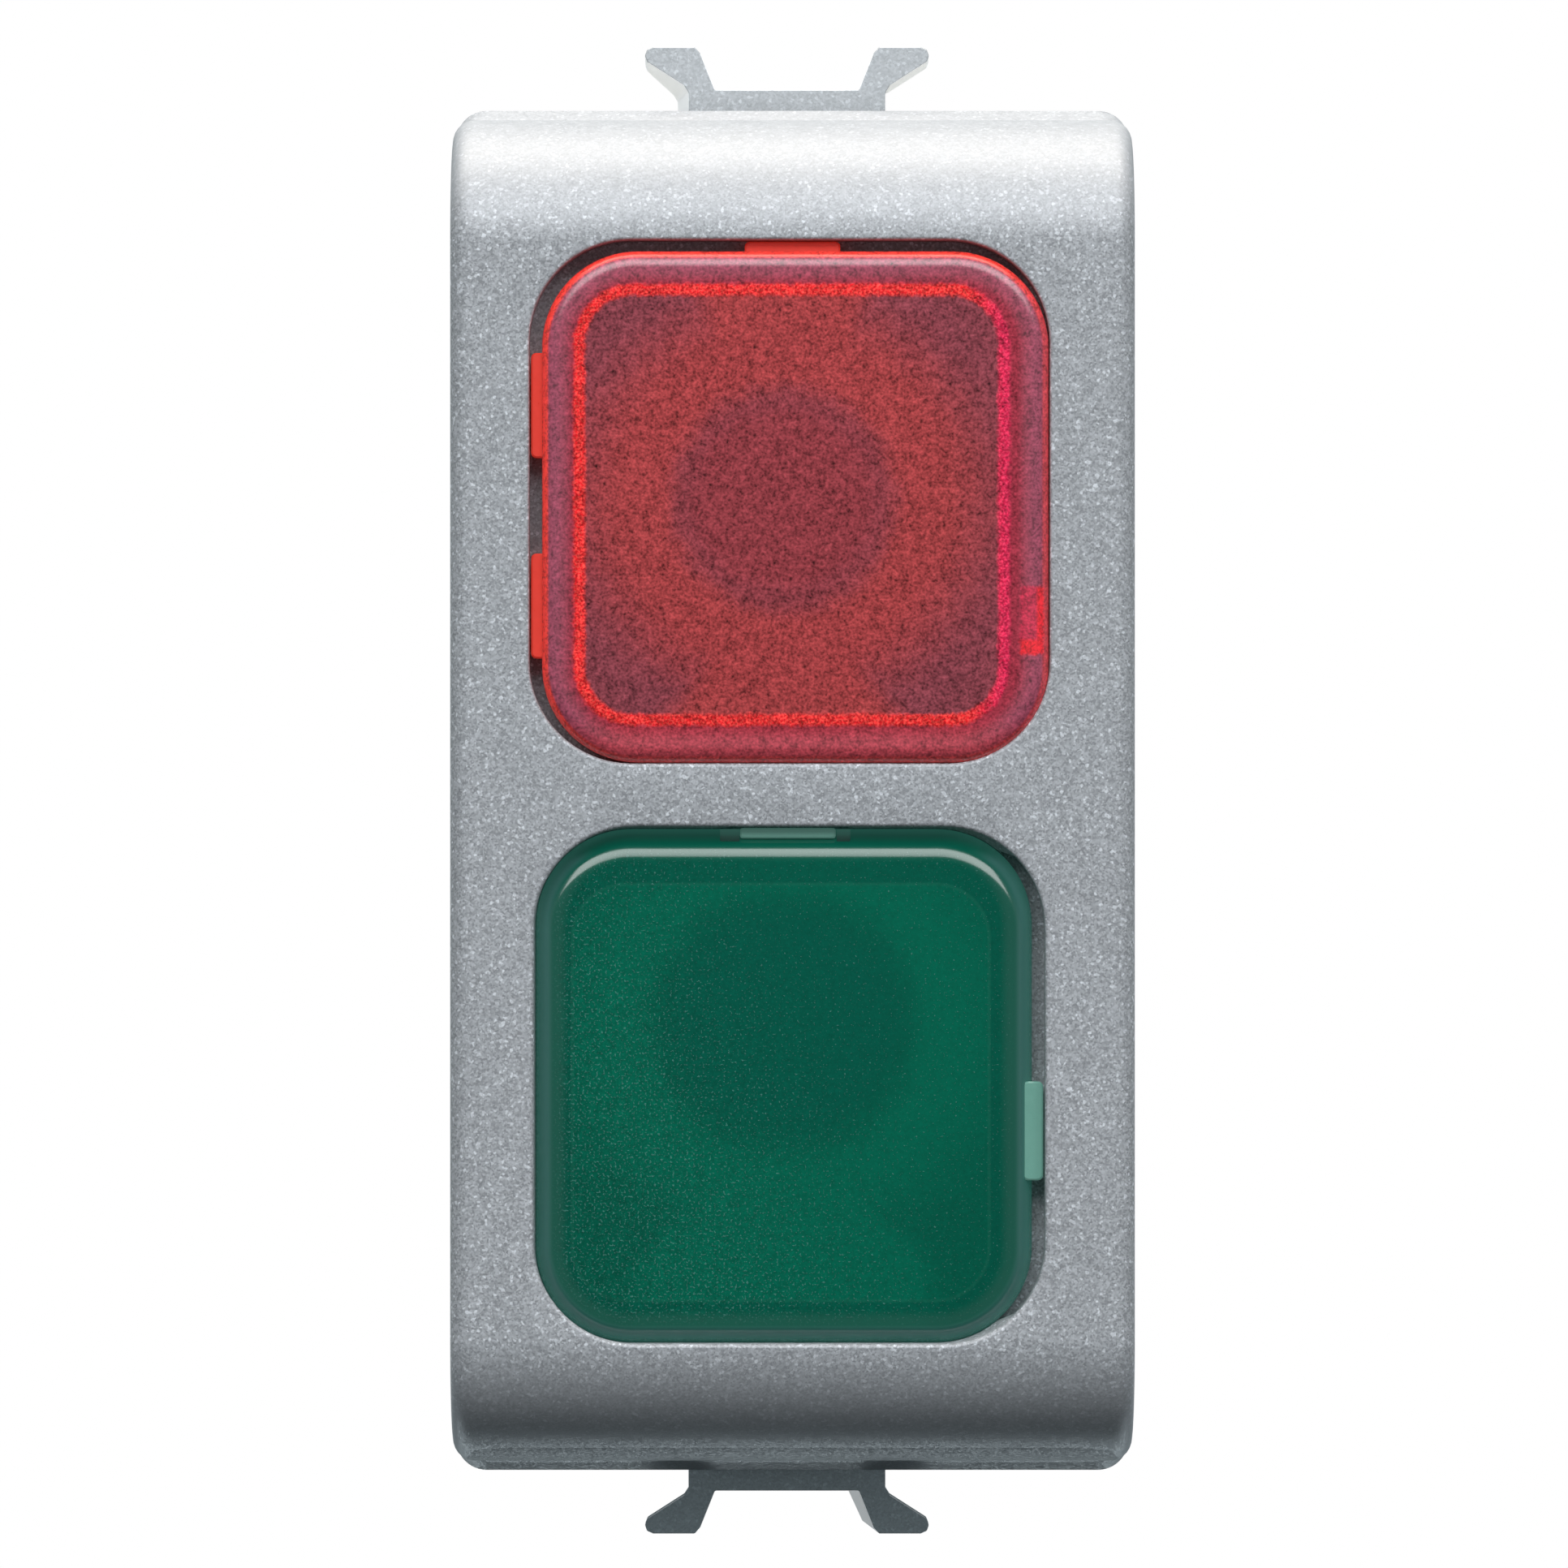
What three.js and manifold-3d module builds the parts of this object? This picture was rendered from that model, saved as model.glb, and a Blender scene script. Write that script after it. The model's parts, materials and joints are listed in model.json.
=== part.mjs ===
// Double indicator lamp for a modular wall box: one module wide, a red light over a green light.
// Millimetres. +X is right, +Z is up and the front faces -Y. The origin is the centre of the
// plane y = 0, where the back of the flange seats on the box's support frame.

import * as THREE from 'three';
import { mergeVertices } from 'three/addons/utils/BufferGeometryUtils.js';
import Module from 'manifold-3d';

const wasm = await Module();
wasm.setup();

// ---------------------------------------------------------------- driving dimensions

const GAP = 0.2;                  // clearance between pieces that rest on each other
const OVERLAP = 0.1;              // how far joined shapes run into each other
const FAR = 30;                   // past the object's end, for cuts that run out of it

const MODULE_W = 22.2;            // width of the front, for a 22.5 mm module pitch
const MODULE_H = 44.9;            // height of the flange, for a 45 mm frame window
const FLANGE_FRONT_Y = -1.3;
const FLANGE_REAR_Y = -0.2;
const FLANGE_CORNER = 1.0;
const FLANGE_LIP = 0.5;           // how far the flange shows past the cover's ends
const LIP_SLOPE = 0.45;           // how much lower the lip starts than it ends
const SEAT_PAD = { x: [5.4, 10.4], z: [20.6, 22.1] };   // four of these seat on the support frame

const FRONT_Y = -9.0;             // the cover's flat face
const COVER_REAR_Y = FLANGE_FRONT_Y - 0.1;
const COVER_H = MODULE_H - 2 * FLANGE_LIP;
const COVER_WALL = 1.3;
const COVER_CORNER = 1.1;
const COVER_SIDE_ROUND = 0.6;     // rounding along the two long edges
const ROLL_H = 4.2;               // height of each rolled end
const ROLL_D = 5.2;               // depth of each rolled end

const COLLARS = {                 // sizes of the frame's collars and of the opening through it
  cover: { w: 19.2, h: 39.6, r: 1.0, y: -4.4 },
  housing: { w: 18.6, h: 35.4, r: 1.0, y: 2.5 },
  recess: { w: 17.4, h: 37.8, r: 0.6 },
  opening: { w: 16.4, h: 34.0, r: 0.6 },
};

const WINDOW_CORNER = 3.3;
const WINDOW_PITCH = 18.9;
const WINDOW_MID_X = -0.1;
const WINDOW_MID_Z = -0.1;
const SEAT_Y = -7.3;              // front of the ledge that a lens sits on
const LEDGE_T = 0.7;
const LEDGE_INSET = 0.8;          // how far the ledge reaches into the window
const SURROUND = 0.8;             // width of the thick band round a window

const LENS_REAR_Y = SEAT_Y - 0.1;
const LENS_EDGE = 0.35;           // rounded edge of the lens
const LENS_CORNER = 3.1;
const SKIRT_SIZE = 13.6;          // square skirt behind the lens, on its centre line
const SKIRT_T = 0.7;
const SKIRT_CORNER = 1.7;
const SKIRT_REAR_Y = -5.6;
const TAB_Y = [-8.5, -7.5];       // snap tabs on the lens's edge, front and back
const TAB_BITE = 0.3;             // how far a tab runs into the lens

const LAMP_X = -0.3;
const LAMP_R = 2.9;
const LAMP_TIP_Y = -3.2;
const LAMP_BASE_R = 3.6;
const LAMP_BASE_Y = [4.6, 12.0];

const CUP_FRONT_Y = -5.0;
const CUP_REAR_Y = 4.4;
const CUP_MOUTH_R = 5.8;
const CUP_THROAT_R = 3.8;
const CUP_WALL = 0.6;
const CUP_SLOPE_Y = [-4.0, 1.0];  // where the cup's cone starts and ends
const STRAP = { halfW: 2.6, above: 7.2, below: 6.4, footHalfW: 4.2, footBelow: 8.3 };

const SOCKET = { w: 13.4, h: 12.4, r: 1.0, floorT: 0.9 };
const BLADE_CLEARANCE = 0.25;

const HOUSING_HALF_W = 10.8;
const HOUSING_HALF_H = 20.2;
const HOUSING_Y = [0.15, 20.95];
const HOUSING_WALL = 1.2;
const LAMP_ROOM_HALF_H = 18.0;
const FLOOR_Y = [12.5, 13.6];     // floor between the lamp room and the terminals
const REAR_COVER_Y = [21.1, 23.6];

const HOUSING_CORNER = 0.8;
const RIB_HALF_T = 0.6;
const CROSS_RIB = { y: 16.2, z: [4.0, 5.0] };
const LUG = { x: [8.2, 9.4], y: 19.6, z: [17.7, 18.8] };
const SNAP = { armX: [8.6, 9.4], noseX: 10.4, y: [17.8, 19.0], z: [7.6, 10.4] };

const CLIP_Y = [0.4, 1.6];        // the horned plate
const CLIP_X = -0.18;
const CLIP_STEM_HALF = 3.26;
const CLIP_WEB_Z = 23.2;
const CLIP_TOP_Z = 24.6;
const CLIP_UNDER_Z = 20.3;
const CLIP_TONGUE_T = 1.0;
const CLIP_ROOT_Y = [11.3, 12.9];
const CLIP_BRACE = { halfT: 0.6, depth: 1.4 };
const HORN = [                    // outline of one horn from the web to the stem: x, then z below its top
  [2.38, 1.42], [2.86, 0.22], [3.05, 0], [4.42, 0], [4.63, 0.09], [4.7, 0.29], [4.62, 0.5], [3.4, 1.28],
];
const CHANNEL_Z = 19.2;           // floor of the channel that the tongue bends into
const CHANNEL_SIDE = 0.6;         // room beside the tongue

const TERMINAL_X = 6.5;
const TERMINAL_Z = 15.0;
const STRIP_T = 0.6;
const STRIP_W = 3.2;
const STRIP_Y = 16.9;             // front of the strip's foot, which the wire is clamped on
const STRIP_PAST_CAGE = 2.2;      // from the screw's centre to the foot's end
const CAGE_Y = [13.9, 18.9];
const CAGE_W = 5.0;
const CAGE_LENGTH = 4.6;
const CAGE_FRONT_T = 0.6;
const CAGE_REAR_T = 0.9;
const CAGE_SIDE_T = 0.6;
const SCREW_R = 1.5;              // M3
const SCREW_HEAD_R = 2.35;
const SCREW_SLOT = { half: 0.35, depth: 0.7, crossHalf: 1.4 };
const SCREW_Y = [STRIP_Y + STRIP_T + GAP, 21.9, 23.3];   // tip, under the head, top of the head
const WIRE_HOLE_R = 1.7;

// ---------------------------------------------------------------- the two lights

const LIGHTS = [
  {
    name: 'red', lensColour: '#c4202c', lampZ: 9.4, end: 1,
    windowW: 16.85, windowH: 16.95, windowZ: WINDOW_MID_Z + WINDOW_PITCH / 2,
    lensW: 16.35, lensH: 16.5, lensX: 0.07, shiftZ: -0.15, proud: 0.2,
    tabs: [
      { side: 'left', at: 3.3, length: 3.4 },
      { side: 'left', at: -3.2, length: 3.4 },
      { side: 'top', at: 0.0, length: 3.1 },
    ],
  },
  {
    name: 'green', lensColour: '#00684c', lampZ: -7.5, end: -1,
    windowW: 16.55, windowH: 16.75, windowZ: WINDOW_MID_Z - WINDOW_PITCH / 2,
    lensW: 16.05, lensH: 16.15, lensX: -0.27, shiftZ: -0.23, proud: -0.3,
    tabs: [
      { side: 'right', at: -1.25, length: 3.2 },
      { side: 'top', at: 0.1, length: 3.1 },
    ],
  },
];

// ---------------------------------------------------------------- shapes and solids

const ROUND = 24;                 // sides of a full round
const CORNER = 6;                 // steps in a rounded corner

function toSolid(geometry) {
  const bare = geometry.clone();
  bare.deleteAttribute('normal');
  bare.deleteAttribute('uv');
  const merged = mergeVertices(bare, 1e-5);
  return new wasm.Manifold(new wasm.Mesh({
    numProp: 3,
    vertProperties: new Float32Array(merged.attributes.position.array),
    triVerts: new Uint32Array(merged.index.array),
  }));
}

function toGeometry(solid) {
  const mesh = solid.getMesh();
  const geometry = new THREE.BufferGeometry();
  geometry.setAttribute('position', new THREE.BufferAttribute(mesh.vertProperties, 3));
  geometry.setIndex(new THREE.BufferAttribute(mesh.triVerts, 1));
  geometry.computeVertexNormals();
  return geometry;
}

// The span from a to b on the + side, or its mirror image on the - side.
const mirrored = ([a, b], side) => (side > 0 ? [a, b] : [-b, -a]);
const sides = [-1, 1];
const corners = sides.flatMap((sx) => sides.map((sz) => [sx, sz]));

const join = (first, ...others) => others.reduce((sum, other) => sum.add(other), first);
const cut = (first, ...others) => others.reduce((rest, other) => rest.subtract(other), first);

function box([x0, x1], [y0, y1], [z0, z1]) {
  const geometry = new THREE.BoxGeometry(x1 - x0, y1 - y0, z1 - z0);
  geometry.translate((x0 + x1) / 2, (y0 + y1) / 2, (z0 + z1) / 2);
  return toSolid(geometry);
}

function barY(x, z, [y0, y1], r) {
  const geometry = new THREE.CylinderGeometry(r, r, y1 - y0, ROUND);
  geometry.translate(x, (y0 + y1) / 2, z);
  return toSolid(geometry);
}

function barZ(x, y, [z0, z1], r) {
  const geometry = new THREE.CylinderGeometry(r, r, z1 - z0, ROUND);
  geometry.rotateX(Math.PI / 2);
  geometry.translate(x, y, (z0 + z1) / 2);
  return toSolid(geometry);
}

// A turned piece about a line along Y. The outline lists [radius, y] pairs.
function turned(x, z, outline, steps = ROUND) {
  const geometry = new THREE.LatheGeometry(outline.map(([r, y]) => new THREE.Vector2(r, y)), steps);
  geometry.translate(x, 0, z);
  return toSolid(geometry);
}

// Shape coordinates are (x, z); the solid runs along Y.
function plateXZ(shape, [y0, y1], edge = 0) {
  const geometry = new THREE.ExtrudeGeometry(shape, {
    depth: y1 - y0 - 2 * edge,
    curveSegments: CORNER,
    bevelEnabled: edge > 0,
    bevelThickness: edge,
    bevelSize: edge,
    bevelOffset: -edge,
    bevelSegments: 2,
  });
  geometry.rotateX(Math.PI / 2);
  geometry.translate(0, y1 - edge, 0);
  return toSolid(geometry);
}

// Shape coordinates are (y, z); the solid runs along X.
function plateYZ(shape, [x0, x1], curveSegments) {
  const geometry = new THREE.ExtrudeGeometry(shape, { depth: x1 - x0, bevelEnabled: false, curveSegments });
  const axes = [new THREE.Vector3(0, 1, 0), new THREE.Vector3(0, 0, 1), new THREE.Vector3(1, 0, 0)];
  geometry.applyMatrix4(new THREE.Matrix4().makeBasis(...axes));
  geometry.translate(x0, 0, 0);
  return toSolid(geometry);
}

// Shape coordinates are (x, y); the solid runs along Z.
function plateXY(shape, [z0, z1]) {
  const depth = z1 - z0;
  const geometry = new THREE.ExtrudeGeometry(shape, { depth, bevelEnabled: false, curveSegments: 4 });
  geometry.translate(0, 0, z0);
  return toSolid(geometry);
}

// A closed shape through points given in either direction of turn.
function polygon(points) {
  const vectors = points.map(([a, b]) => new THREE.Vector2(a, b));
  return new THREE.Shape(THREE.ShapeUtils.isClockWise(vectors) ? vectors.reverse() : vectors);
}

function roundedRect(w, h, r, x = 0, z = 0) {
  const shape = new THREE.Shape();
  const dx = w / 2 - r;
  const dz = h / 2 - r;
  const quarter = Math.PI / 2;
  [[dx, dz, 0], [-dx, dz, 1], [-dx, -dz, 2], [dx, -dz, 3]].forEach(([cx, cz, turn]) => {
    shape.absarc(x + cx, z + cz, r, turn * quarter, (turn + 1) * quarter, false);
  });
  return shape;
}

// ---------------------------------------------------------------- outer pieces

// Side view of the cover: a flat face whose ends roll back to the flange.
function coverProfile(halfH, frontY, rollH, rollD, rearY) {
  const shape = new THREE.Shape();
  shape.moveTo(rearY, -halfH);
  shape.lineTo(rearY, halfH);
  shape.lineTo(frontY + rollD, halfH);
  shape.absellipse(frontY + rollD, halfH - rollH, rollD, rollH, Math.PI / 2, Math.PI, false, 0);
  shape.absellipse(frontY + rollD, -halfH + rollH, rollD, rollH, Math.PI, Math.PI * 1.5, false, 0);
  return shape;
}

function frontCover() {
  const halfW = MODULE_W / 2;
  const innerW = halfW - COVER_WALL;
  const outerProfile = coverProfile(COVER_H / 2, FRONT_Y, ROLL_H, ROLL_D, COVER_REAR_Y);
  const innerProfile = coverProfile(
    COVER_H / 2 - COVER_WALL, FRONT_Y + COVER_WALL, ROLL_H, ROLL_D, COVER_REAR_Y + 1);
  const outer = plateYZ(outerProfile, [-halfW, halfW], 10)
    .intersect(plateXZ(roundedRect(MODULE_W, COVER_H, COVER_CORNER), [FRONT_Y - 1, 0]))
    .intersect(sideRounding(halfW));
  let cover = cut(outer, plateYZ(innerProfile, [-innerW, innerW], 6));
  const surroundY = [FRONT_Y + COVER_WALL / 2, SEAT_Y + LEDGE_T];
  cover = join(cover, ...LIGHTS.map((light) => plateXZ(windowShape(light, SURROUND), surroundY)));
  const openings = LIGHTS.flatMap((light) => [
    plateXZ(windowShape(light, 0), [FRONT_Y - 1, SEAT_Y]),
    plateXZ(windowShape(light, -LEDGE_INSET), [SEAT_Y - 1, 0]),
  ]);
  return cut(cover, ...openings);
}

// A light's window, grown by a margin all round.
function windowShape({ windowW, windowH, windowZ }, margin) {
  const [w, h] = [windowW + 2 * margin, windowH + 2 * margin];
  return roundedRect(w, h, WINDOW_CORNER + margin, WINDOW_MID_X, windowZ);
}

// A bar along Z whose two front edges are rounded.
function sideRounding(halfW) {
  const r = COVER_SIDE_ROUND;
  const shape = new THREE.Shape();
  shape.moveTo(halfW, 0);
  shape.lineTo(-halfW, 0);
  shape.absarc(-halfW + r, FRONT_Y + r, r, Math.PI, Math.PI * 1.5, false);
  shape.absarc(halfW - r, FRONT_Y + r, r, -Math.PI / 2, 0, false);
  return plateXY(shape, [-MODULE_H / 2, MODULE_H / 2]);
}

// Flange whose lips slope back, a collar into the cover, a collar into the housing and four seating pads.
function clipFrame() {
  const { cover, housing, recess, opening } = COLLARS;
  const flange = wasm.Manifold.hull([
    plateXZ(roundedRect(MODULE_W, MODULE_H - 2 * LIP_SLOPE, FLANGE_CORNER), [FLANGE_FRONT_Y, FLANGE_REAR_Y]),
    plateXZ(roundedRect(MODULE_W, MODULE_H, FLANGE_CORNER), [FLANGE_REAR_Y - OVERLAP, FLANGE_REAR_Y]),
  ]);
  const coverCollar = plateXZ(roundedRect(cover.w, cover.h, cover.r), [cover.y, FLANGE_REAR_Y]);
  const housingCollar = plateXZ(roundedRect(housing.w, housing.h, housing.r), [FLANGE_FRONT_Y, housing.y]);
  const pads = corners.map(([sx, sz]) => box(
    mirrored(SEAT_PAD.x, sx), [FLANGE_REAR_Y - OVERLAP, 0], mirrored(SEAT_PAD.z, sz)));
  return cut(
    join(flange, coverCollar, housingCollar, ...pads),
    plateXZ(roundedRect(recess.w, recess.h, recess.r), [FRONT_Y, FLANGE_FRONT_Y]),
    plateXZ(roundedRect(opening.w, opening.h, opening.r), [FRONT_Y, FAR]));
}

// Half of the horned outline, from the web out round one horn and down the stem.
function hornPoints(side) {
  const horn = HORN.map(([x, drop]) => [x, CLIP_TOP_Z - drop]);
  const stem = [[CLIP_STEM_HALF, CLIP_WEB_Z - OVERLAP], [CLIP_STEM_HALF, CLIP_UNDER_Z]];
  return [...horn, ...stem].map(([x, z]) => [side * x, z]);
}

// A bull-horn clip on a tongue that runs back along the housing. end is +1 above and -1 below.
function hornClip(end) {
  const outline = polygon([...hornPoints(-1).reverse(), ...hornPoints(1)]);
  const stem = [-CLIP_STEM_HALF, CLIP_STEM_HALF];
  const horns = plateXZ(outline, CLIP_Y);
  const rearY = CLIP_Y[1] - OVERLAP;
  const tongueTopZ = CLIP_UNDER_Z + CLIP_TONGUE_T;
  const tongue = box(stem, [rearY, CLIP_ROOT_Y[1]], [CLIP_UNDER_Z, tongueTopZ]);
  const root = box(stem, CLIP_ROOT_Y, [CHANNEL_Z + GAP, tongueTopZ]);
  const { halfT, depth } = CLIP_BRACE;
  const brace = plateYZ(polygon([
    [rearY, tongueTopZ - OVERLAP], [rearY + depth, tongueTopZ - OVERLAP], [rearY, CLIP_WEB_Z - 0.5],
  ]), [-halfT, halfT], 1);
  const clip = join(horns, tongue, root, brace);
  return (end > 0 ? clip : clip.rotate([0, 180, 0])).translate([CLIP_X, 0, 0]);
}

// Box with a lamp room in front and a terminal room behind a floor, and ribs between the terminals.
function rearHousing() {
  const innerW = HOUSING_HALF_W - HOUSING_WALL;
  const innerH = HOUSING_HALF_H - HOUSING_WALL;
  const outer = plateXZ(roundedRect(2 * HOUSING_HALF_W, 2 * HOUSING_HALF_H, HOUSING_CORNER), HOUSING_Y);
  const lampRoom = box([-innerW, innerW], [-FAR, FLOOR_Y[0]], [-LAMP_ROOM_HALF_H, LAMP_ROOM_HALF_H]);
  const terminalRoom = box([-innerW, innerW], [FLOOR_Y[1], FAR], [-innerH, innerH]);
  const ribStart = FLOOR_Y[1] - OVERLAP;
  const ribSpan = [-innerH - OVERLAP, innerH + OVERLAP];
  const middleRib = box([-RIB_HALF_T, RIB_HALF_T], [ribStart, HOUSING_Y[1]], ribSpan);
  const crossRibs = sides.map((end) => box(
    [-innerW - OVERLAP, innerW + OVERLAP], [ribStart, CROSS_RIB.y], mirrored(CROSS_RIB.z, end)));
  const channelHalf = CLIP_STEM_HALF + CHANNEL_SIDE;
  const channelX = [CLIP_X - channelHalf, CLIP_X + channelHalf];
  const channels = sides.map((end) => box(
    channelX, [-FAR, CLIP_ROOT_Y[1] + GAP], mirrored([CHANNEL_Z, FAR], end)));
  const snapWindows = corners.map(([sx, sz]) => box(
    mirrored([innerW - OVERLAP, FAR], sx), [SNAP.y[0] - GAP, SNAP.y[1] + GAP],
    mirrored([SNAP.z[0] - GAP, SNAP.z[1] + GAP], sz)));
  const wireY = (CAGE_Y[0] + CAGE_FRONT_T + STRIP_Y) / 2;
  const wireHoles = corners.map(([sx, sz]) => barZ(
    sx * TERMINAL_X, wireY, mirrored([innerH - OVERLAP, FAR], sz), WIRE_HOLE_R));
  const bladeSlots = LIGHTS.flatMap(({ lampZ }) => sides.map((side) => box(
    bladeSpan(side, BLADE_CLEARANCE), [FLOOR_Y[0] - OVERLAP, FLOOR_Y[1] + OVERLAP],
    bladeWidth(lampZ, BLADE_CLEARANCE))));
  return cut(
    join(cut(outer, lampRoom, terminalRoom), middleRib, ...crossRibs),
    ...channels, ...snapWindows, ...wireHoles, ...bladeSlots);
}

// Plate with a lug in each housing corner, two snap arms a side and a well over each clamp screw.
function rearCover() {
  const plate = plateXZ(roundedRect(2 * HOUSING_HALF_W, 2 * HOUSING_HALF_H, HOUSING_CORNER), REAR_COVER_Y);
  const plateY = REAR_COVER_Y[0] + OVERLAP;
  const parts = corners.flatMap(([sx, sz]) => [
    box(mirrored(LUG.x, sx), [LUG.y, plateY], mirrored(LUG.z, sz)),
    box(mirrored(SNAP.armX, sx), [SNAP.y[0], plateY], mirrored(SNAP.z, sz)),
    plateXY(polygon([
      [SNAP.armX[1] - OVERLAP, SNAP.y[0]], [SNAP.noseX, SNAP.y[1] - 0.3], [SNAP.noseX, SNAP.y[1]],
      [SNAP.armX[1] - OVERLAP, SNAP.y[1]],
    ].map(([x, y]) => [sx * x, y])), mirrored(SNAP.z, sz)),
  ]);
  const wells = corners.flatMap(([sx, sz]) => [
    barY(sx * TERMINAL_X, sz * TERMINAL_Z, [HOUSING_Y[1], FAR], SCREW_R + 0.3),
    barY(sx * TERMINAL_X, sz * TERMINAL_Z, [SCREW_Y[1] - OVERLAP, FAR], SCREW_HEAD_R + 0.25),
  ]);
  return cut(join(plate, ...parts), ...wells);
}

// ---------------------------------------------------------------- pieces of each light

// Rounded square cap with a skirt behind it and snap tabs that reach into the window's edge.
function lens({ lensW, lensH, lensX, shiftZ, windowW, windowH, windowZ, proud, tabs }) {
  const x = lensX;
  const z = windowZ + shiftZ;
  const face = plateXZ(
    roundedRect(lensW, lensH, LENS_CORNER, x, z), [FRONT_Y - proud, LENS_REAR_Y], LENS_EDGE);
  const [skirtOuter, skirtInner] = [SKIRT_T, -SKIRT_T].map((offset) => roundedRect(
    SKIRT_SIZE + offset, SKIRT_SIZE + offset, SKIRT_CORNER + offset / 2, x, z));
  const skirt = cut(
    plateXZ(skirtOuter, [LENS_REAR_Y - OVERLAP, SKIRT_REAR_Y]),
    plateXZ(skirtInner, [LENS_REAR_Y, FAR]));
  const halfW = lensW / 2 - TAB_BITE;
  const halfH = lensH / 2 - TAB_BITE;
  const reach = windowW / 2 - OVERLAP;
  const across = {
    left: [WINDOW_MID_X - reach, x - halfW],
    right: [x + halfW, WINDOW_MID_X + reach],
    top: [z + halfH, windowZ + windowH / 2 - OVERLAP],
  };
  const snapTabs = tabs.map(({ side, at, length }) => {
    const along = [at - length / 2, at + length / 2];
    return side === 'top'
      ? box(along, TAB_Y, across.top)
      : box(across[side], TAB_Y, along.map((offset) => z + offset));
  });
  return join(face, skirt, ...snapTabs);
}

// A white cup round the lamp, with a strap above it and a flared foot below it.
function reflector({ lampZ }) {
  const outerR = CUP_MOUTH_R + CUP_WALL;
  const outerThroatR = CUP_THROAT_R + CUP_WALL;
  const cup = turned(LAMP_X, lampZ, [
    [CUP_MOUTH_R, CUP_FRONT_Y], [outerR, CUP_FRONT_Y], [outerR, CUP_SLOPE_Y[0]],
    [outerThroatR, CUP_SLOPE_Y[1]], [outerThroatR, CUP_REAR_Y], [CUP_THROAT_R, CUP_REAR_Y],
    [CUP_THROAT_R, CUP_SLOPE_Y[1] - CUP_WALL], [CUP_MOUTH_R, CUP_FRONT_Y],
  ]);
  const { halfW, above, below, footHalfW, footBelow } = STRAP;
  const outline = [
    [-footHalfW, -footBelow], [footHalfW, -footBelow], [halfW, -below],
    [halfW, above], [-halfW, above], [-halfW, -below],
  ].map(([x, z]) => [LAMP_X + x, lampZ + z]);
  const strap = plateXZ(polygon(outline), [CUP_FRONT_Y, CUP_FRONT_Y + CUP_WALL]);
  const mouth = barY(LAMP_X, lampZ, [FRONT_Y, 0], CUP_MOUTH_R + CUP_WALL / 2);
  return join(cup, cut(strap, mouth));
}

// Glass envelope with a domed tip.
function bulb({ lampZ }) {
  const steps = 5;
  const outline = [];
  for (let i = 0; i <= steps; i += 1) {
    const angle = (i / steps) * (Math.PI / 2);
    outline.push([LAMP_R * Math.sin(angle), LAMP_TIP_Y + LAMP_R * (1 - Math.cos(angle))]);
  }
  const rear = LAMP_BASE_Y[0] - GAP;
  return turned(LAMP_X, lampZ, [...outline, [LAMP_R, rear], [0, rear]], 20);
}

// Plug-in cap of the lamp, open at the back.
function lampBase({ lampZ }) {
  const [front, rear] = LAMP_BASE_Y;
  const wall = 0.9;
  const bore = LAMP_BASE_R - wall;
  return turned(LAMP_X, lampZ, [
    [0, front], [LAMP_BASE_R, front], [LAMP_BASE_R, rear],
    [bore, rear], [bore, front + wall], [0, front + wall],
  ]);
}

// The lamp's ballast resistor, lying along Y inside the base with a lead at each end.
function resistor({ lampZ }) {
  const lead = { r: 0.3, y: [LAMP_BASE_Y[0] + 1.2, LAMP_BASE_Y[1] - GAP] };
  const body = { r: 1.0, y: [LAMP_BASE_Y[0] + 2.0, LAMP_BASE_Y[1] - 1.4] };
  return turned(LAMP_X, lampZ, [
    [0, lead.y[0]], [lead.r, lead.y[0]], [lead.r, body.y[0]], [body.r, body.y[0]],
    [body.r, body.y[1]], [lead.r, body.y[1]], [lead.r, lead.y[1]], [0, lead.y[1]],
  ], 12);
}

// Block that the lamp base plugs into, with a slot for the contact blade on each side.
function socket({ lampZ }) {
  const y = [LAMP_BASE_Y[0] + OVERLAP, FLOOR_Y[0] - GAP];
  const block = plateXZ(roundedRect(SOCKET.w, SOCKET.h, SOCKET.r, LAMP_X, lampZ), y);
  const bore = barY(LAMP_X, lampZ, [0, FAR], LAMP_BASE_R + GAP);
  const blades = sides.map((side) => box(
    bladeSpan(side, GAP), [y[0] + SOCKET.floorT, FAR], bladeWidth(lampZ, GAP)));
  return cut(block, bore, ...blades);
}

// Where a contact blade stands beside the lamp base, widened by a clearance.
function bladeSpan(side, clearance) {
  const near = LAMP_X + side * (LAMP_BASE_R + 0.3);
  const far = near + side * STRIP_T;
  return [near - side * clearance, far + side * clearance].sort((a, b) => a - b);
}

function bladeWidth(lampZ, clearance) {
  const half = STRIP_W / 2 + clearance;
  return [lampZ - half, lampZ + half];
}

// Brass strip: a blade beside the lamp base and a foot that runs into the terminal's cage.
function strip({ lampZ, end }, side) {
  const blade = bladeSpan(side, 0);
  const footZ = [lampZ - end * STRIP_W / 2, end * (TERMINAL_Z + STRIP_PAST_CAGE)];
  const neckZ = lampZ + end * STRIP_W / 2;
  const inner = side > 0 ? blade[0] : blade[1];
  const outer = side * (TERMINAL_X + STRIP_W / 2);
  const cageSide = side * (TERMINAL_X - STRIP_W / 2);
  const outline = [
    [inner, footZ[0]], [outer, footZ[0]], [outer, footZ[1]],
    [cageSide, footZ[1]], [cageSide, neckZ], [inner, neckZ],
  ];
  const foot = plateXZ(polygon(outline), [STRIP_Y, STRIP_Y + STRIP_T]);
  return join(foot, box(blade, [LAMP_BASE_Y[0] + 1.4, STRIP_Y + STRIP_T], bladeWidth(lampZ, 0)));
}

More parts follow.
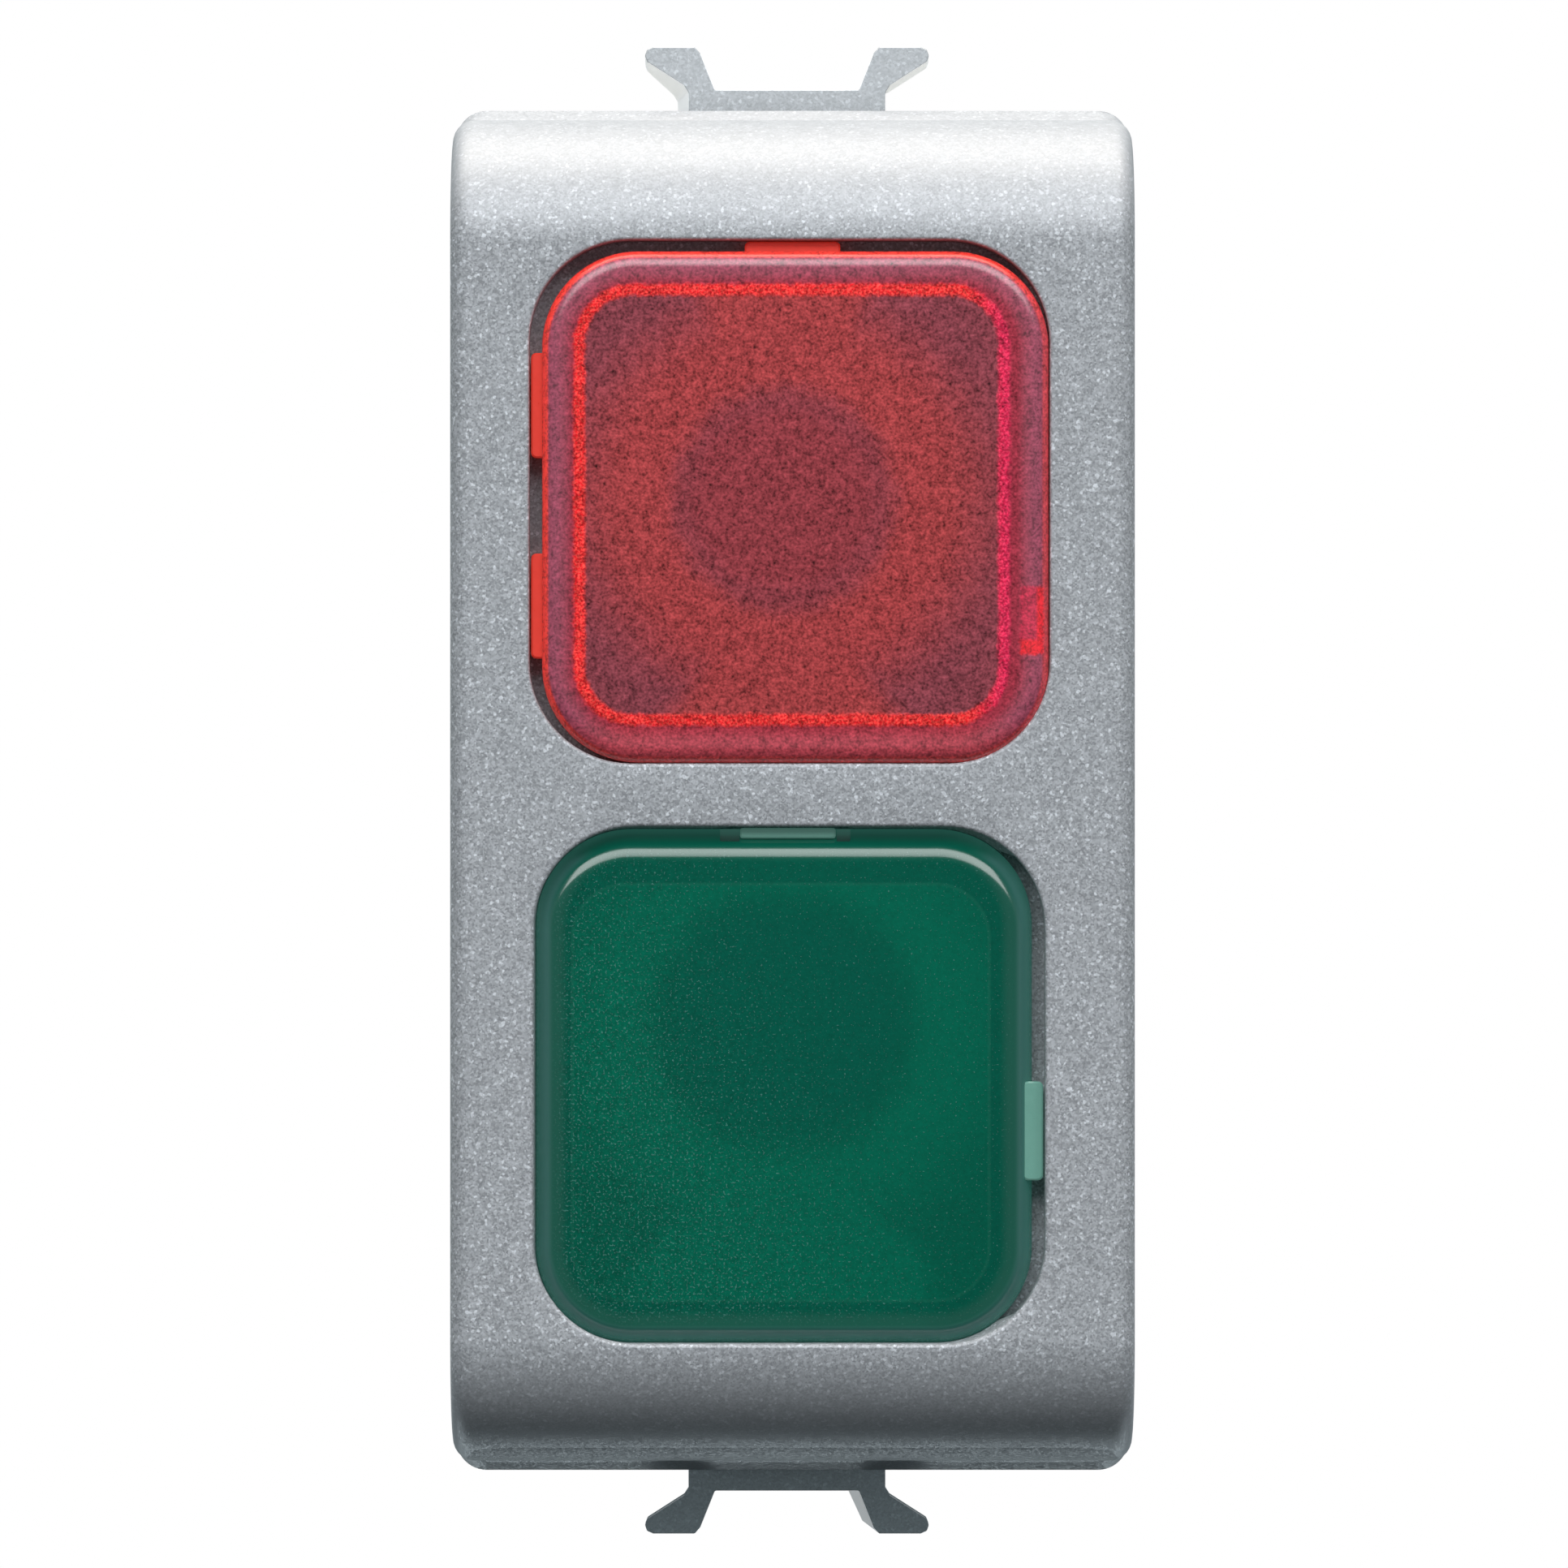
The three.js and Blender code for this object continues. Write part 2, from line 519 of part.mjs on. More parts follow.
// Lift clamp: the screw draws it back, so that it grips the wire on the strip.
function cage({ end }, side) {
  const x = side * TERMINAL_X;
  const z = end * TERMINAL_Z;
  const across = [x - CAGE_W / 2, x + CAGE_W / 2];
  const along = [z - CAGE_LENGTH / 2, z + CAGE_LENGTH / 2];
  const inside = [across[0] + CAGE_SIDE_T, across[1] - CAGE_SIDE_T];
  return cut(
    box(across, CAGE_Y, along),
    box(inside, [CAGE_Y[0] + CAGE_FRONT_T, CAGE_Y[1] - CAGE_REAR_T], [z - CAGE_LENGTH, z + CAGE_LENGTH]),
    barY(x, z, [CAGE_Y[1] - 2, FAR], SCREW_R + GAP));
}

// Clamp screw with a combined slot and cross in its head.
function screw({ end }, side) {
  const x = side * TERMINAL_X;
  const z = end * TERMINAL_Z;
  const [tip, underHead, top] = SCREW_Y;
  const chamfer = { tip: 0.4, head: 0.3 };
  const pin = turned(x, z, [
    [0, tip], [SCREW_R - chamfer.tip, tip], [SCREW_R, tip + chamfer.tip],
    [SCREW_R, underHead], [SCREW_HEAD_R, underHead],
    [SCREW_HEAD_R, top - chamfer.head], [SCREW_HEAD_R - chamfer.head, top], [0, top],
  ], 20);
  const { half, depth, crossHalf } = SCREW_SLOT;
  const slotY = [top - depth, FAR];
  const slot = box([x - SCREW_HEAD_R - GAP, x + SCREW_HEAD_R + GAP], slotY, [z - half, z + half]);
  const cross = box([x - half, x + half], slotY, [z - crossHalf, z + crossHalf]);
  return cut(pin, slot, cross);
}

// ---------------------------------------------------------------- the assembly

const FINISH = {
  titanium: { color: '#9ca2a8', roughness: 0.42, metalness: 0.35 },
  housing: { color: '#c9cbc8', roughness: 0.6, metalness: 0 },
  socket: { color: '#e4dfd0', roughness: 0.55, metalness: 0 },
  white: { color: '#eeeeea', roughness: 0.4, metalness: 0 },
  glass: { color: '#e8e2dc', roughness: 0.1, metalness: 0 },
  lampBase: { color: '#dcdcd6', roughness: 0.45, metalness: 0 },
  resistor: { color: '#b99a6b', roughness: 0.6, metalness: 0 },
  brass: { color: '#c9a04e', roughness: 0.35, metalness: 1 },
  zincSteel: { color: '#b8bcc0', roughness: 0.38, metalness: 1 },
};

const indicator = new THREE.Group();

function place(name, solid, finish) {
  const mesh = new THREE.Mesh(toGeometry(solid), new THREE.MeshStandardMaterial(finish));
  mesh.name = name;
  indicator.add(mesh);
}

place('front_cover', frontCover(), FINISH.titanium);
place('clip_frame', clipFrame(), FINISH.titanium);
place('top_clip', hornClip(1), FINISH.titanium);
place('bottom_clip', hornClip(-1), FINISH.titanium);
place('rear_housing', rearHousing(), FINISH.housing);
place('rear_cover', rearCover(), FINISH.housing);

LIGHTS.forEach((light) => {
  place(`${light.name}_lens`, lens(light), { color: light.lensColour, roughness: 0.35, metalness: 0 });
  place(`${light.name}_reflector`, reflector(light), FINISH.white);
  place(`${light.name}_bulb`, bulb(light), FINISH.glass);
  place(`${light.name}_lamp_base`, lampBase(light), FINISH.lampBase);
  place(`${light.name}_resistor`, resistor(light), FINISH.resistor);
  place(`${light.name}_socket`, socket(light), FINISH.socket);
  [['left', -1], ['right', 1]].forEach(([label, side]) => {
    place(`${light.name}_${label}_strip`, strip(light, side), FINISH.brass);
    place(`${light.name}_${label}_cage`, cage(light, side), FINISH.zincSteel);
    place(`${light.name}_${label}_screw`, screw(light, side), FINISH.zincSteel);
  });
});

export default indicator;
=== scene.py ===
"""Looks of a double indicator lamp module, seen square from the front as it floats on a white ground.

Metres in the CAD frame: +X right, +Z up, the front faces -Y. Sizes below are in millimetres and
are turned into metres by MM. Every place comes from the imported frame.
"""

import json
import math

import bmesh
import bpy
import numpy as np
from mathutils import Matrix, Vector, geometry


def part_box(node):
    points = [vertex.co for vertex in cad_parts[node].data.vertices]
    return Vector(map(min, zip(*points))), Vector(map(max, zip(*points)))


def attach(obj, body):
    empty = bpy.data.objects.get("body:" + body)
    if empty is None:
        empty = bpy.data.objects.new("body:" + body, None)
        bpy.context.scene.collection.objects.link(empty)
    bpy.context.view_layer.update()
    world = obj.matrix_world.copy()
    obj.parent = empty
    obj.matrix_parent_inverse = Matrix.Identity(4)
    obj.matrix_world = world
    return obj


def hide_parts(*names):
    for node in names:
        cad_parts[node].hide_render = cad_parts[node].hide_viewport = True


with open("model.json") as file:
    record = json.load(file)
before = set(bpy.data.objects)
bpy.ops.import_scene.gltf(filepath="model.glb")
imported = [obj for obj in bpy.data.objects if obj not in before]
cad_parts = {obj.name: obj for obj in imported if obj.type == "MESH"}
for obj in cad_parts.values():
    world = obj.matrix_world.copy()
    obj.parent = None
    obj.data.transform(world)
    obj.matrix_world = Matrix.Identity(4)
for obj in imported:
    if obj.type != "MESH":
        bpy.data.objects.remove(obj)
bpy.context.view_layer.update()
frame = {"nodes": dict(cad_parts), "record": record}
MM = 0.001


# ---------------------------------------------------------------- places from the frame

def span(node):
    """The box of a CAD node as (low, high) in millimetres."""
    low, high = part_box(node)
    return low / MM, high / MM


COVER_LOW, COVER_HIGH = span("front_cover")
HALF_W = COVER_HIGH.x
COVER_HALF_H = COVER_HIGH.z
FRONT_Y = COVER_LOW.y
COVER_REAR_Y = COVER_HIGH.y
LIGHTS = ("red", "green")

# Shape of the cover's front, as in the CAD part.
ROLL_H = 4.2                      # height of each rolled end
ROLL_D = 5.2                      # depth of each rolled end
SIDE_ROUND = 0.7                  # rounding along the two long edges
WALL = 1.3                        # thickness of the cover
WINDOW_SIZE = {"red": (16.85, 16.95), "green": (16.55, 16.75)}
WINDOW_CORNER = 3.3
WINDOW_X = -0.1
WINDOW_Z = {"red": 9.35, "green": -9.55}
WINDOW_FILLET = {"red": 0.12, "green": 0.14}    # rounding of the windows' edges
DRAFTED_WINDOWS = ("green",)      # those whose wall slopes in; the red one's gap stays open
WALL_DRAFT_Y = 0.6                # how far back a window's wall slopes towards the lens
SURROUND = 0.8                    # thickness of the band round a window
LEDGE_Y = -7.3                    # front of the ledge that a lens sits on
LEDGE_T = 0.7
LEDGE_INSET = 0.8                 # how far the ledge reaches into the window

LENS_CORNER = 3.1
LENS_EDGE = {"red": 0.55, "green": 0.5}         # width of the lens's eased edge
LENS_TOP_EDGE = {"red": 0.55, "green": 1.08}    # the same along its top
LENS_SIZE = {"red": (16.4, 16.55), "green": (16.08, 16.63)}
LENS_AT = {"red": (0.09, 9.18), "green": (-0.28, -9.565)}
LENS_COAT_ROUGHNESS = {"red": 0.28, "green": 0.16}
LENS_REAR_Y = -7.4
LENS_GAP = 0.025                  # least gap between a lens and its window's wall
TAB_POCKET = 0.5                  # how far a wall stays upright past the ends of a top tab
# side, place along it (z from the lens's middle, or x for a top tab) and length
TABS_AT = {
    "red": [("left", 3.3, 3.4), ("left", -3.2, 3.4), ("top", 0.0, 3.1)],
    "green": [("right", -1.47, 3.2), ("top", -0.15, 3.1)],
}


# ---------------------------------------------------------------- mesh helpers

def new_object(name, mesh, material, body, node):
    """Puts a mesh into the scene as a piece that stands for one CAD node."""
    piece = bpy.data.objects.new(name, mesh)
    bpy.context.scene.collection.objects.link(piece)
    for item in material if isinstance(material, (list, tuple)) else [material]:
        mesh.materials.append(item)
    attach(piece, body)
    if node:
        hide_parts(node)
    return piece


def shade(mesh, sharp_degrees=32):
    mesh.polygons.foreach_set("use_smooth", [True] * len(mesh.polygons))
    mesh.set_sharp_from_angle(angle=math.radians(sharp_degrees))


def rounded_loop(w, h, r, x, z, y, steps=12):
    """Points of a rounded rectangle in a plane y, counter-clockwise from the front."""
    points = []
    for corner, (sx, sz) in enumerate(((1, 1), (-1, 1), (-1, -1), (1, -1))):
        cx, cz = x + sx * (w / 2 - r), z + sz * (h / 2 - r)
        for i in range(steps + 1):
            turn = math.radians(90) * (corner + i / steps)
            points.append((cx + r * math.cos(turn), y, cz + r * math.sin(turn)))
    return points


def circle_loop(radius, x, z, y, steps=64):
    turns = [2 * math.pi * i / steps for i in range(steps)]
    return [(x + radius * math.cos(t), y, z + radius * math.sin(t)) for t in turns]


def loft(loops, ring=False):
    """A closed solid through loops of equal length, capped at both ends or closed on itself as a ring."""
    mesh = bmesh.new()
    rows = [[mesh.verts.new(Vector(p) * MM) for p in loop] for loop in loops]
    count = len(rows[0])
    pairs = list(zip(rows, rows[1:]))
    if ring:
        pairs.append((rows[-1], rows[0]))
    else:
        mesh.faces.new(rows[0])
        mesh.faces.new(reversed(rows[-1]))
    for a, b in pairs:
        for i in range(count):
            j = (i + 1) % count
            mesh.faces.new((a[i], b[i], b[j], a[j]))
    bmesh.ops.recalc_face_normals(mesh, faces=mesh.faces)
    return mesh


def merged(*parts):
    """One bmesh that holds every part."""
    whole = bmesh.new()
    for part in parts:
        mesh = bpy.data.meshes.new("part")
        part.to_mesh(mesh)
        whole.from_mesh(mesh)
        bpy.data.meshes.remove(mesh)
    return whole


def combine(first, second, operation):
    """Boolean of two bmeshes; the result replaces the first."""
    holders = []
    for source in (first, second):
        mesh = bpy.data.meshes.new("operand")
        source.to_mesh(mesh)
        source.free()
        holder = bpy.data.objects.new("operand", mesh)
        bpy.context.scene.collection.objects.link(holder)
        holders.append(holder)
    modifier = holders[0].modifiers.new("cut", "BOOLEAN")
    modifier.object = holders[1]
    modifier.operation = operation
    modifier.solver = "EXACT"
    graph = bpy.context.evaluated_depsgraph_get()
    result = bmesh.new()
    result.from_object(holders[0], graph)
    for holder in holders:
        mesh = holder.data
        bpy.data.objects.remove(holder)
        bpy.data.meshes.remove(mesh)
    return result


def to_mesh(source, name, sharp_degrees=32):
    mesh = bpy.data.meshes.new(name)
    source.to_mesh(mesh)
    source.free()
    shade(mesh, sharp_degrees)
    return mesh


def ease(mesh, edges, width, segments):
    bmesh.ops.bevel(
        mesh, geom=edges, offset=width * MM, segments=segments, profile=0.5, affect="EDGES",
        clamp_overlap=True, harden_normals=False)


def sharp_edges(mesh, min_degrees):
    return [e for e in mesh.edges if e.is_manifold and e.calc_face_angle() > math.radians(min_degrees)]


def softened(node, width):
    """A bmesh copy of a CAD node with its flat faces joined up and its edges rounded."""
    copy = bmesh.new()
    copy.from_mesh(frame["nodes"][node].data)
    bmesh.ops.remove_doubles(copy, verts=copy.verts, dist=1e-7)
    bmesh.ops.dissolve_limit(copy, angle_limit=math.radians(1), verts=copy.verts, edges=copy.edges)
    ease(copy, sharp_edges(copy, 25), width, 2)
    return copy


# ---------------------------------------------------------------- node materials

class Nodes:
    """One material and the nodes that colour it. Positions are object coordinates in millimetres."""

    def __init__(self, name, **shader):
        self.material = bpy.data.materials.new(name)
        self.material.use_nodes = True
        self.tree = self.material.node_tree
        self.shader = self.tree.nodes["Principled BSDF"]
        for socket, value in shader.items():
            self.shader.inputs[socket.replace("_", " ")].default_value = value
        coordinates = self.tree.nodes.new("ShaderNodeTexCoord")
        self.place = self.vector("MULTIPLY", coordinates.outputs["Object"], (1000, 1000, 1000))

    def link(self, value, socket):
        if isinstance(value, bpy.types.NodeSocket):
            self.tree.links.new(value, socket)
        elif value is not None:
            socket.default_value = value

    def math(self, operation, *values, clamp=False):
        node = self.tree.nodes.new("ShaderNodeMath")
        node.operation = operation
        node.use_clamp = clamp
        for value, socket in zip(values, node.inputs):
            self.link(value, socket)
        return node.outputs[0]

    def vector(self, operation, *values):
        node = self.tree.nodes.new("ShaderNodeVectorMath")
        node.operation = operation
        for value, socket in zip(values, node.inputs):
            self.link(value, socket)
        return node.outputs["Value" if operation == "LENGTH" else "Vector"]

    def part(self, axis, vector=None):
        node = self.tree.nodes.new("ShaderNodeSeparateXYZ")
        self.link(vector or self.place, node.inputs[0])
        return node.outputs[axis]

    def step(self, value, low, high):
        """0 below low, 1 above high, smooth in between; falls instead where low is above high."""
        node = self.tree.nodes.new("ShaderNodeMapRange")
        node.interpolation_type = "SMOOTHSTEP"
        rising = low < high
        self.link(value, node.inputs["Value"])
        node.inputs["From Min"].default_value = min(low, high)
        node.inputs["From Max"].default_value = max(low, high)
        node.inputs["To Min"].default_value = 0 if rising else 1
        node.inputs["To Max"].default_value = 1 if rising else 0
        return node.outputs["Result"]

    def noise(self, size, detail=2, vector=None):
        """Noise of about 0 to 1 whose lumps are size millimetres across."""
        node = self.tree.nodes.new("ShaderNodeTexNoise")
        self.link(vector or self.place, node.inputs["Vector"])
        node.inputs["Scale"].default_value = 1 / size
        node.inputs["Detail"].default_value = detail
        return node.outputs["Fac"]

    def grains(self, size):
        """A random value for each cell of about size millimetres."""
        node = self.tree.nodes.new("ShaderNodeTexVoronoi")
        self.link(self.place, node.inputs["Vector"])
        node.inputs["Scale"].default_value = 1 / size
        return self.part("X", node.outputs["Color"])

    def mix(self, factor, low, high):
        node = self.tree.nodes.new("ShaderNodeMix")
        node.data_type = "RGBA"
        self.link(factor, node.inputs["Factor"])
        self.link(colour(low), node.inputs["A"])
        self.link(colour(high), node.inputs["B"])
        return node.outputs["Result"]

    def scaled(self, tint, factor):
        """A colour times a number."""
        return self.vector("MULTIPLY", colour(tint, 3), self.triple(factor))

    def triple(self, value):
        node = self.tree.nodes.new("ShaderNodeCombineXYZ")
        for socket in node.inputs:
            self.link(value, socket)
        return node.outputs[0]

    def paint(self, tint=None, roughness=None, height=None, depth=0.02, metallic=None):
        """Sets what varies over the surface. depth is the bump's real height in millimetres."""
        self.link(tint, self.shader.inputs["Base Color"])
        self.link(roughness, self.shader.inputs["Roughness"])
        self.link(metallic, self.shader.inputs["Metallic"])
        if height is not None:
            bump = self.tree.nodes.new("ShaderNodeBump")
            bump.inputs["Distance"].default_value = depth * MM
            bump.inputs["Strength"].default_value = 1
            self.link(height, bump.inputs["Height"])
            self.link(bump.outputs[0], self.shader.inputs["Normal"])
        return self.material


def colour(value, size=4):
    """Passes a socket through, and turns a display colour of 0 to 255 into scene values."""
    if isinstance(value, bpy.types.NodeSocket):
        return value
    linear = [((c / 255 + 0.055) / 1.055) ** 2.4 if c > 10 else c / 255 / 12.92 for c in value]
    return tuple(linear) if size == 3 else (*linear, 1)


def flake_plastic(name, tint, strength=1.0, strength_at_ends=0.35):
    """Satin grey plastic filled with fine metal flake.

    strength is the contrast of its grain, and strength_at_ends the contrast where the surface rolls away.
    """
    n = Nodes(name, Specular_IOR_Level=0.35)
    fine, coarse = n.grains(0.062), n.grains(0.09)
    cloud = n.noise(0.35, 3)
    towards_end = n.step(n.math("ABSOLUTE", n.part("Z")), 17.6, 20.4)
    share = n.math("MULTIPLY_ADD", towards_end, strength_at_ends - strength, strength)
    glint = n.math("MULTIPLY_ADD", n.step(coarse, 0.84, 1.0), 0.62, -0.05)
    grain = n.math("ADD", n.math("MULTIPLY_ADD", fine, 0.56, -0.28), glint)
    body = n.math("MULTIPLY_ADD", cloud, 0.2, 0.87)
    shade_factor = n.math("MULTIPLY_ADD", grain, share, body)
    roughness = n.math("MULTIPLY_ADD", fine, 0.16, 0.42)
    height = n.math("ADD", n.math("MULTIPLY", coarse, 0.5), cloud)
    return n.paint(n.scaled(tint, shade_factor), roughness, height, 0.003, 0.2)


def rounded_square(n, x, z, half_w, half_h, radius, wobble=0.0):
    """Signed distance in mm from a rounded square's line, positive outside; wobble roughens it."""
    flat = n.vector("MULTIPLY", n.vector("SUBTRACT", n.place, (x, 0, z)), (1, 0, 1))
    corner = n.vector("SUBTRACT", n.vector("ABSOLUTE", flat), (half_w - radius, 0, half_h - radius))
    outside = n.vector("LENGTH", n.vector("MAXIMUM", corner, (0, 0, 0)))
    distance = n.math("SUBTRACT", outside, radius)
    if wobble:
        shake = n.math("MULTIPLY", n.math("SUBTRACT", n.noise(0.16, 2), 0.5), 2 * wobble)
        distance = n.math("ADD", distance, shake)
    return distance


def lamp_glow(n, light, disc, ring, fade, strap, foot):
    """(how bright the cup behind shows, how dark the lamp in its middle shows) for a diffuser: painted light
    and shade that the white cup and the lamp send through it.

    disc, ring and fade are pairs of radii in mm: where the lamp ends, the cup starts and the cup fades.
    strap is half the width of the plates above and below the cup, and foot how much the lower one widens.
    """
    low, high = span(f"{light}_bulb")
    x, z = (low.x + high.x) / 2, (low.z + high.z) / 2
    flat = n.vector("MULTIPLY", n.vector("SUBTRACT", n.place, (x, 0, z)), (1, 0, 1))
    drift = n.math("MULTIPLY", n.math("SUBTRACT", n.noise(0.6, 4), 0.5), 0.8)
    radius = n.math("ADD", n.vector("LENGTH", flat), drift)
    centre = n.step(radius, disc[1], disc[0])
    cup = n.math("MULTIPLY", n.step(radius, ring[0], ring[1]), n.step(radius, fade[1], fade[0]))
    side = n.math("ADD", n.math("ABSOLUTE", n.part("X", flat)), n.math("MULTIPLY", drift, 0.7))
    height = n.part("Z", flat)
    above = n.math("MULTIPLY", n.step(side, strap + 0.9, strap - 0.7), n.step(height, 3.0, 5.0))
    spread = n.math("MULTIPLY_ADD", n.step(height, -4.9, -8.3), foot, strap)
    within_foot = n.step(n.math("SUBTRACT", side, spread), 0.9, -0.7)
    below = n.math("MULTIPLY", within_foot, n.step(height, -3.0, -5.0))
    glow = n.math("MAXIMUM", cup, n.math("MAXIMUM", above, below))
    return glow, centre


def glow_at_edge(n, edge, tint, width, strength):
    """Light that leaves a diffuser through its outline, over a band of that width in mm."""
    n.shader.inputs["Emission Color"].default_value = colour(tint)
    n.link(n.math("MULTIPLY", n.step(edge, -width, 0.0), strength), n.shader.inputs["Emission Strength"])


def red_rim(n, edge, z):
    """Rim of the red diffuser: pinker outwards, redder at its foot, with a painted glow round its outline,
    brightest at the upper left where the light falls.
    """
    rim = n.mix(n.step(edge, -1.1, -0.4), (160, 52, 68), (158, 70, 92))
    at_foot = n.step(n.part("Z"), z - 6.6, z - 8.0)
    rim = n.mix(n.math("MULTIPLY", at_foot, 0.75), rim, (198, 70, 78))
    # painted light: the outline's glow is made stronger on the lit upper left
    lit_upper_left = n.step(n.math("SUBTRACT", n.part("X"), n.part("Z")), -6.0, -11.0)
    outline = n.step(n.math("ABSOLUTE", n.math("ADD", edge, 0.09)), 0.16, 0.06)
    outline = n.math("MULTIPLY", outline, n.step(n.part("Y"), FRONT_Y + 0.5, FRONT_Y + 0.3))
    outline = n.math("MULTIPLY", outline, n.math("MULTIPLY_ADD", lit_upper_left, 0.55, 0.45))
    return n.mix(outline, rim, (250, 62, 52))


def red_stripe(n):
    """Colour of the bright stripe: random painted highlights and shade of its wiggly surface, and pinker on
    the right.
    """
    right = n.step(n.part("X"), 5.5, 7.0)
    # flecks of painted highlight and painted shade
    painted_glints = n.step(n.noise(0.08, 2), 0.4, 0.62)
    low = n.mix(right, (222, 34, 40), (206, 34, 74))
    high = n.mix(right, (255, 78, 72), (238, 62, 100))
    return n.mix(painted_glints, low, high)


def red_tab_patch(n, tint):
    """The snap tab that shows through the rim at the lower right, brightest at its outer sides."""
    patch = rounded_square(n, 7.75, 5.5, 0.36, 1.08, 0.1, wobble=0.1)
    outer = n.math("MAXIMUM", n.step(n.part("X"), 7.84, 7.98), n.step(n.part("Z"), 4.96, 4.8))
    bright = n.mix(outer, (206, 46, 76), (250, 34, 46))
    return n.mix(n.math("MULTIPLY", n.step(patch, 0.1, -0.06), 0.9), tint, bright)


def red_face(n, edge, grain):
    """(colour, contrast of the speckle, height, how frosted) over the red diffuser."""
    z = LENS_AT["red"][1]
    glow, centre = lamp_glow(
        n, "red", disc=(2.5, 3.95), ring=(2.9, 4.1), fade=(5.0, 7.9), strap=2.6, foot=1.5)
    line = rounded_square(n, -0.03, z + 0.06, 6.87, 6.96, 1.75, wobble=0.1)
    face = n.mix(glow, (137, 64, 74), (168, 65, 67))
    face = n.mix(centre, face, (148, 60, 67))
    tint = n.mix(n.step(line, -0.1, 0.1), face, red_rim(n, edge, z))
    stripe = n.step(n.math("ABSOLUTE", line), 0.27, 0.1)
    tint = n.mix(stripe, tint, red_stripe(n))
    tint = red_tab_patch(n, tint)
    glow_at_edge(n, edge, (214, 66, 58), 0.16, 0.12)
    frosted = n.step(line, 0.3, -0.1)
    contrast = n.math("MULTIPLY_ADD", frosted, 0.3, 2.1)
    height = n.math("ADD", n.math("MULTIPLY", n.math("MULTIPLY", grain, contrast), 0.6), stripe)
    return tint, contrast, height, frosted


def green_face(n, edge, grain):
    """(colour, contrast of the speckle, height, how frosted) over the green diffuser."""
    x, middle_z = LENS_AT["green"][0], WINDOW_Z["green"]
    glow, centre = lamp_glow(
        n, "green", disc=(2.8, 4.6), ring=(3.6, 5.0), fade=(5.4, 8.6), strap=2.4, foot=2.3)
    line = rounded_square(n, x - 0.1, middle_z - 0.23, 6.75, 6.75, 1.75)
    face = n.mix(glow, (0, 88, 69), (0, 99, 77))
    face = n.mix(centre, face, (0, 87, 70))
    face = n.mix(n.math("MULTIPLY", n.step(line, -0.1, 0.1), 0.7), face, (0, 82, 66))
    on_line = n.step(n.math("ABSOLUTE", line), 0.08, 0.02)
    face = n.mix(n.math("MULTIPLY", on_line, 0.1), face, (60, 130, 108))

    frosted = n.step(edge, -0.4, -1.2)
    lower_left = n.step(n.math("ADD", n.part("X"), n.math("MULTIPLY", n.part("Z"), 0.5)), 0.0, -12.0)
    least = n.math("MULTIPLY_ADD", lower_left, -0.07, 0.62)
    fleck = n.math("MULTIPLY", n.step(n.math("SUBTRACT", n.noise(0.075, 2), least), 0.0, 0.1), frosted)
    face = n.mix(n.math("MULTIPLY", fleck, 0.5), face, (96, 150, 142))

    # The shoulder: greyer along the sides and bottom, a painted sheen of reflected light, and dark green
    # along the top.
    at_top = n.step(n.part("Z"), middle_z + 7.2, middle_z + 7.7)
    shoulder_sheen = n.mix(at_top, (58, 104, 98), (6, 88, 70))
    tint = n.mix(n.step(edge, -0.6, -0.3), face, shoulder_sheen)
    glow_at_edge(n, edge, (44, 100, 88), 0.5, 0.55)
    contrast = n.math("MULTIPLY", frosted, n.math("MULTIPLY_ADD", lower_left, 0.5, 0.35))
    height = n.math("MULTIPLY_ADD", grain, contrast, fleck)
    return tint, contrast, height, frosted


def diffuser(light):
    """Tinted diffuser: glossy rim, a line where its skirt joins and a frosted face with the painted glow of
    the cup behind.
    """
    w, h = LENS_SIZE[light]
    x, z = LENS_AT[light]
    n = Nodes(
        f"{light}_diffuser_face", Coat_IOR=1.7, Coat_Roughness=LENS_COAT_ROUGHNESS[light],
        Specular_IOR_Level=0.02, IOR=1.49)
    edge = rounded_square(n, x, z, w / 2, h / 2, LENS_CORNER)
    glossy = n.math("MULTIPLY_ADD", n.step(edge, -1.1, -0.7), 0.85, 0.15)
    n.link(glossy, n.shader.inputs["Coat Weight"])
    grain, lumps = n.noise(0.09, 2), n.noise(0.24, 2)
    both = n.math("SUBTRACT", n.math("MULTIPLY_ADD", lumps, 0.6, grain), 0.8)
    faces = {"red": red_face, "green": green_face}
    tint, contrast, height, frosted = faces[light](n, edge, grain)
    speckle = n.math("MULTIPLY_ADD", both, contrast, 1)
    roughness = n.math("MULTIPLY_ADD", frosted, 0.15, 0.22)
    return n.paint(n.vector("MULTIPLY", tint, n.triple(speckle)), roughness, height, 0.012)


def plain(name, tint, rough=0.5, size=0.25, vary=0.12, depth=0.01, **shader):
    """Moulded or rolled stuff: slight clouds of colour, a fine grain in gloss and height."""
    n = Nodes(name, **shader)
    grain, cloud = n.noise(size, 3), n.noise(size * 14, 2)
    both = n.math("ADD", n.math("MULTIPLY", grain, vary), n.math("MULTIPLY", cloud, vary))
    roughness = n.math("MULTIPLY_ADD", grain, 0.3, rough - 0.15)
    return n.paint(n.scaled(tint, n.math("ADD", both, 1 - vary)), roughness, grain, depth)


def banded(name, node):
    """Lacquered resistor with colour bands round it along Y."""
    low, high = span(node)
    n = Nodes(name, Coat_Weight=0.3)
    along = n.math("DIVIDE", n.math("SUBTRACT", n.part("Y"), low.y), high.y - low.y)
    tint = n.scaled((196, 164, 116), n.math("MULTIPLY_ADD", n.noise(0.3, 2), 0.3, 0.85))
    bands = ((0.28, (120, 60, 30)), (0.4, (30, 30, 30)), (0.52, (190, 150, 40)), (0.7, (170, 140, 70)))
    for centre, band in bands:
        near = n.step(n.math("ABSOLUTE", n.math("SUBTRACT", along, centre)), 0.035, 0.03)
        tint = n.mix(near, tint, band)
    return n.paint(tint, 0.4, n.noise(0.2, 2), 0.004)


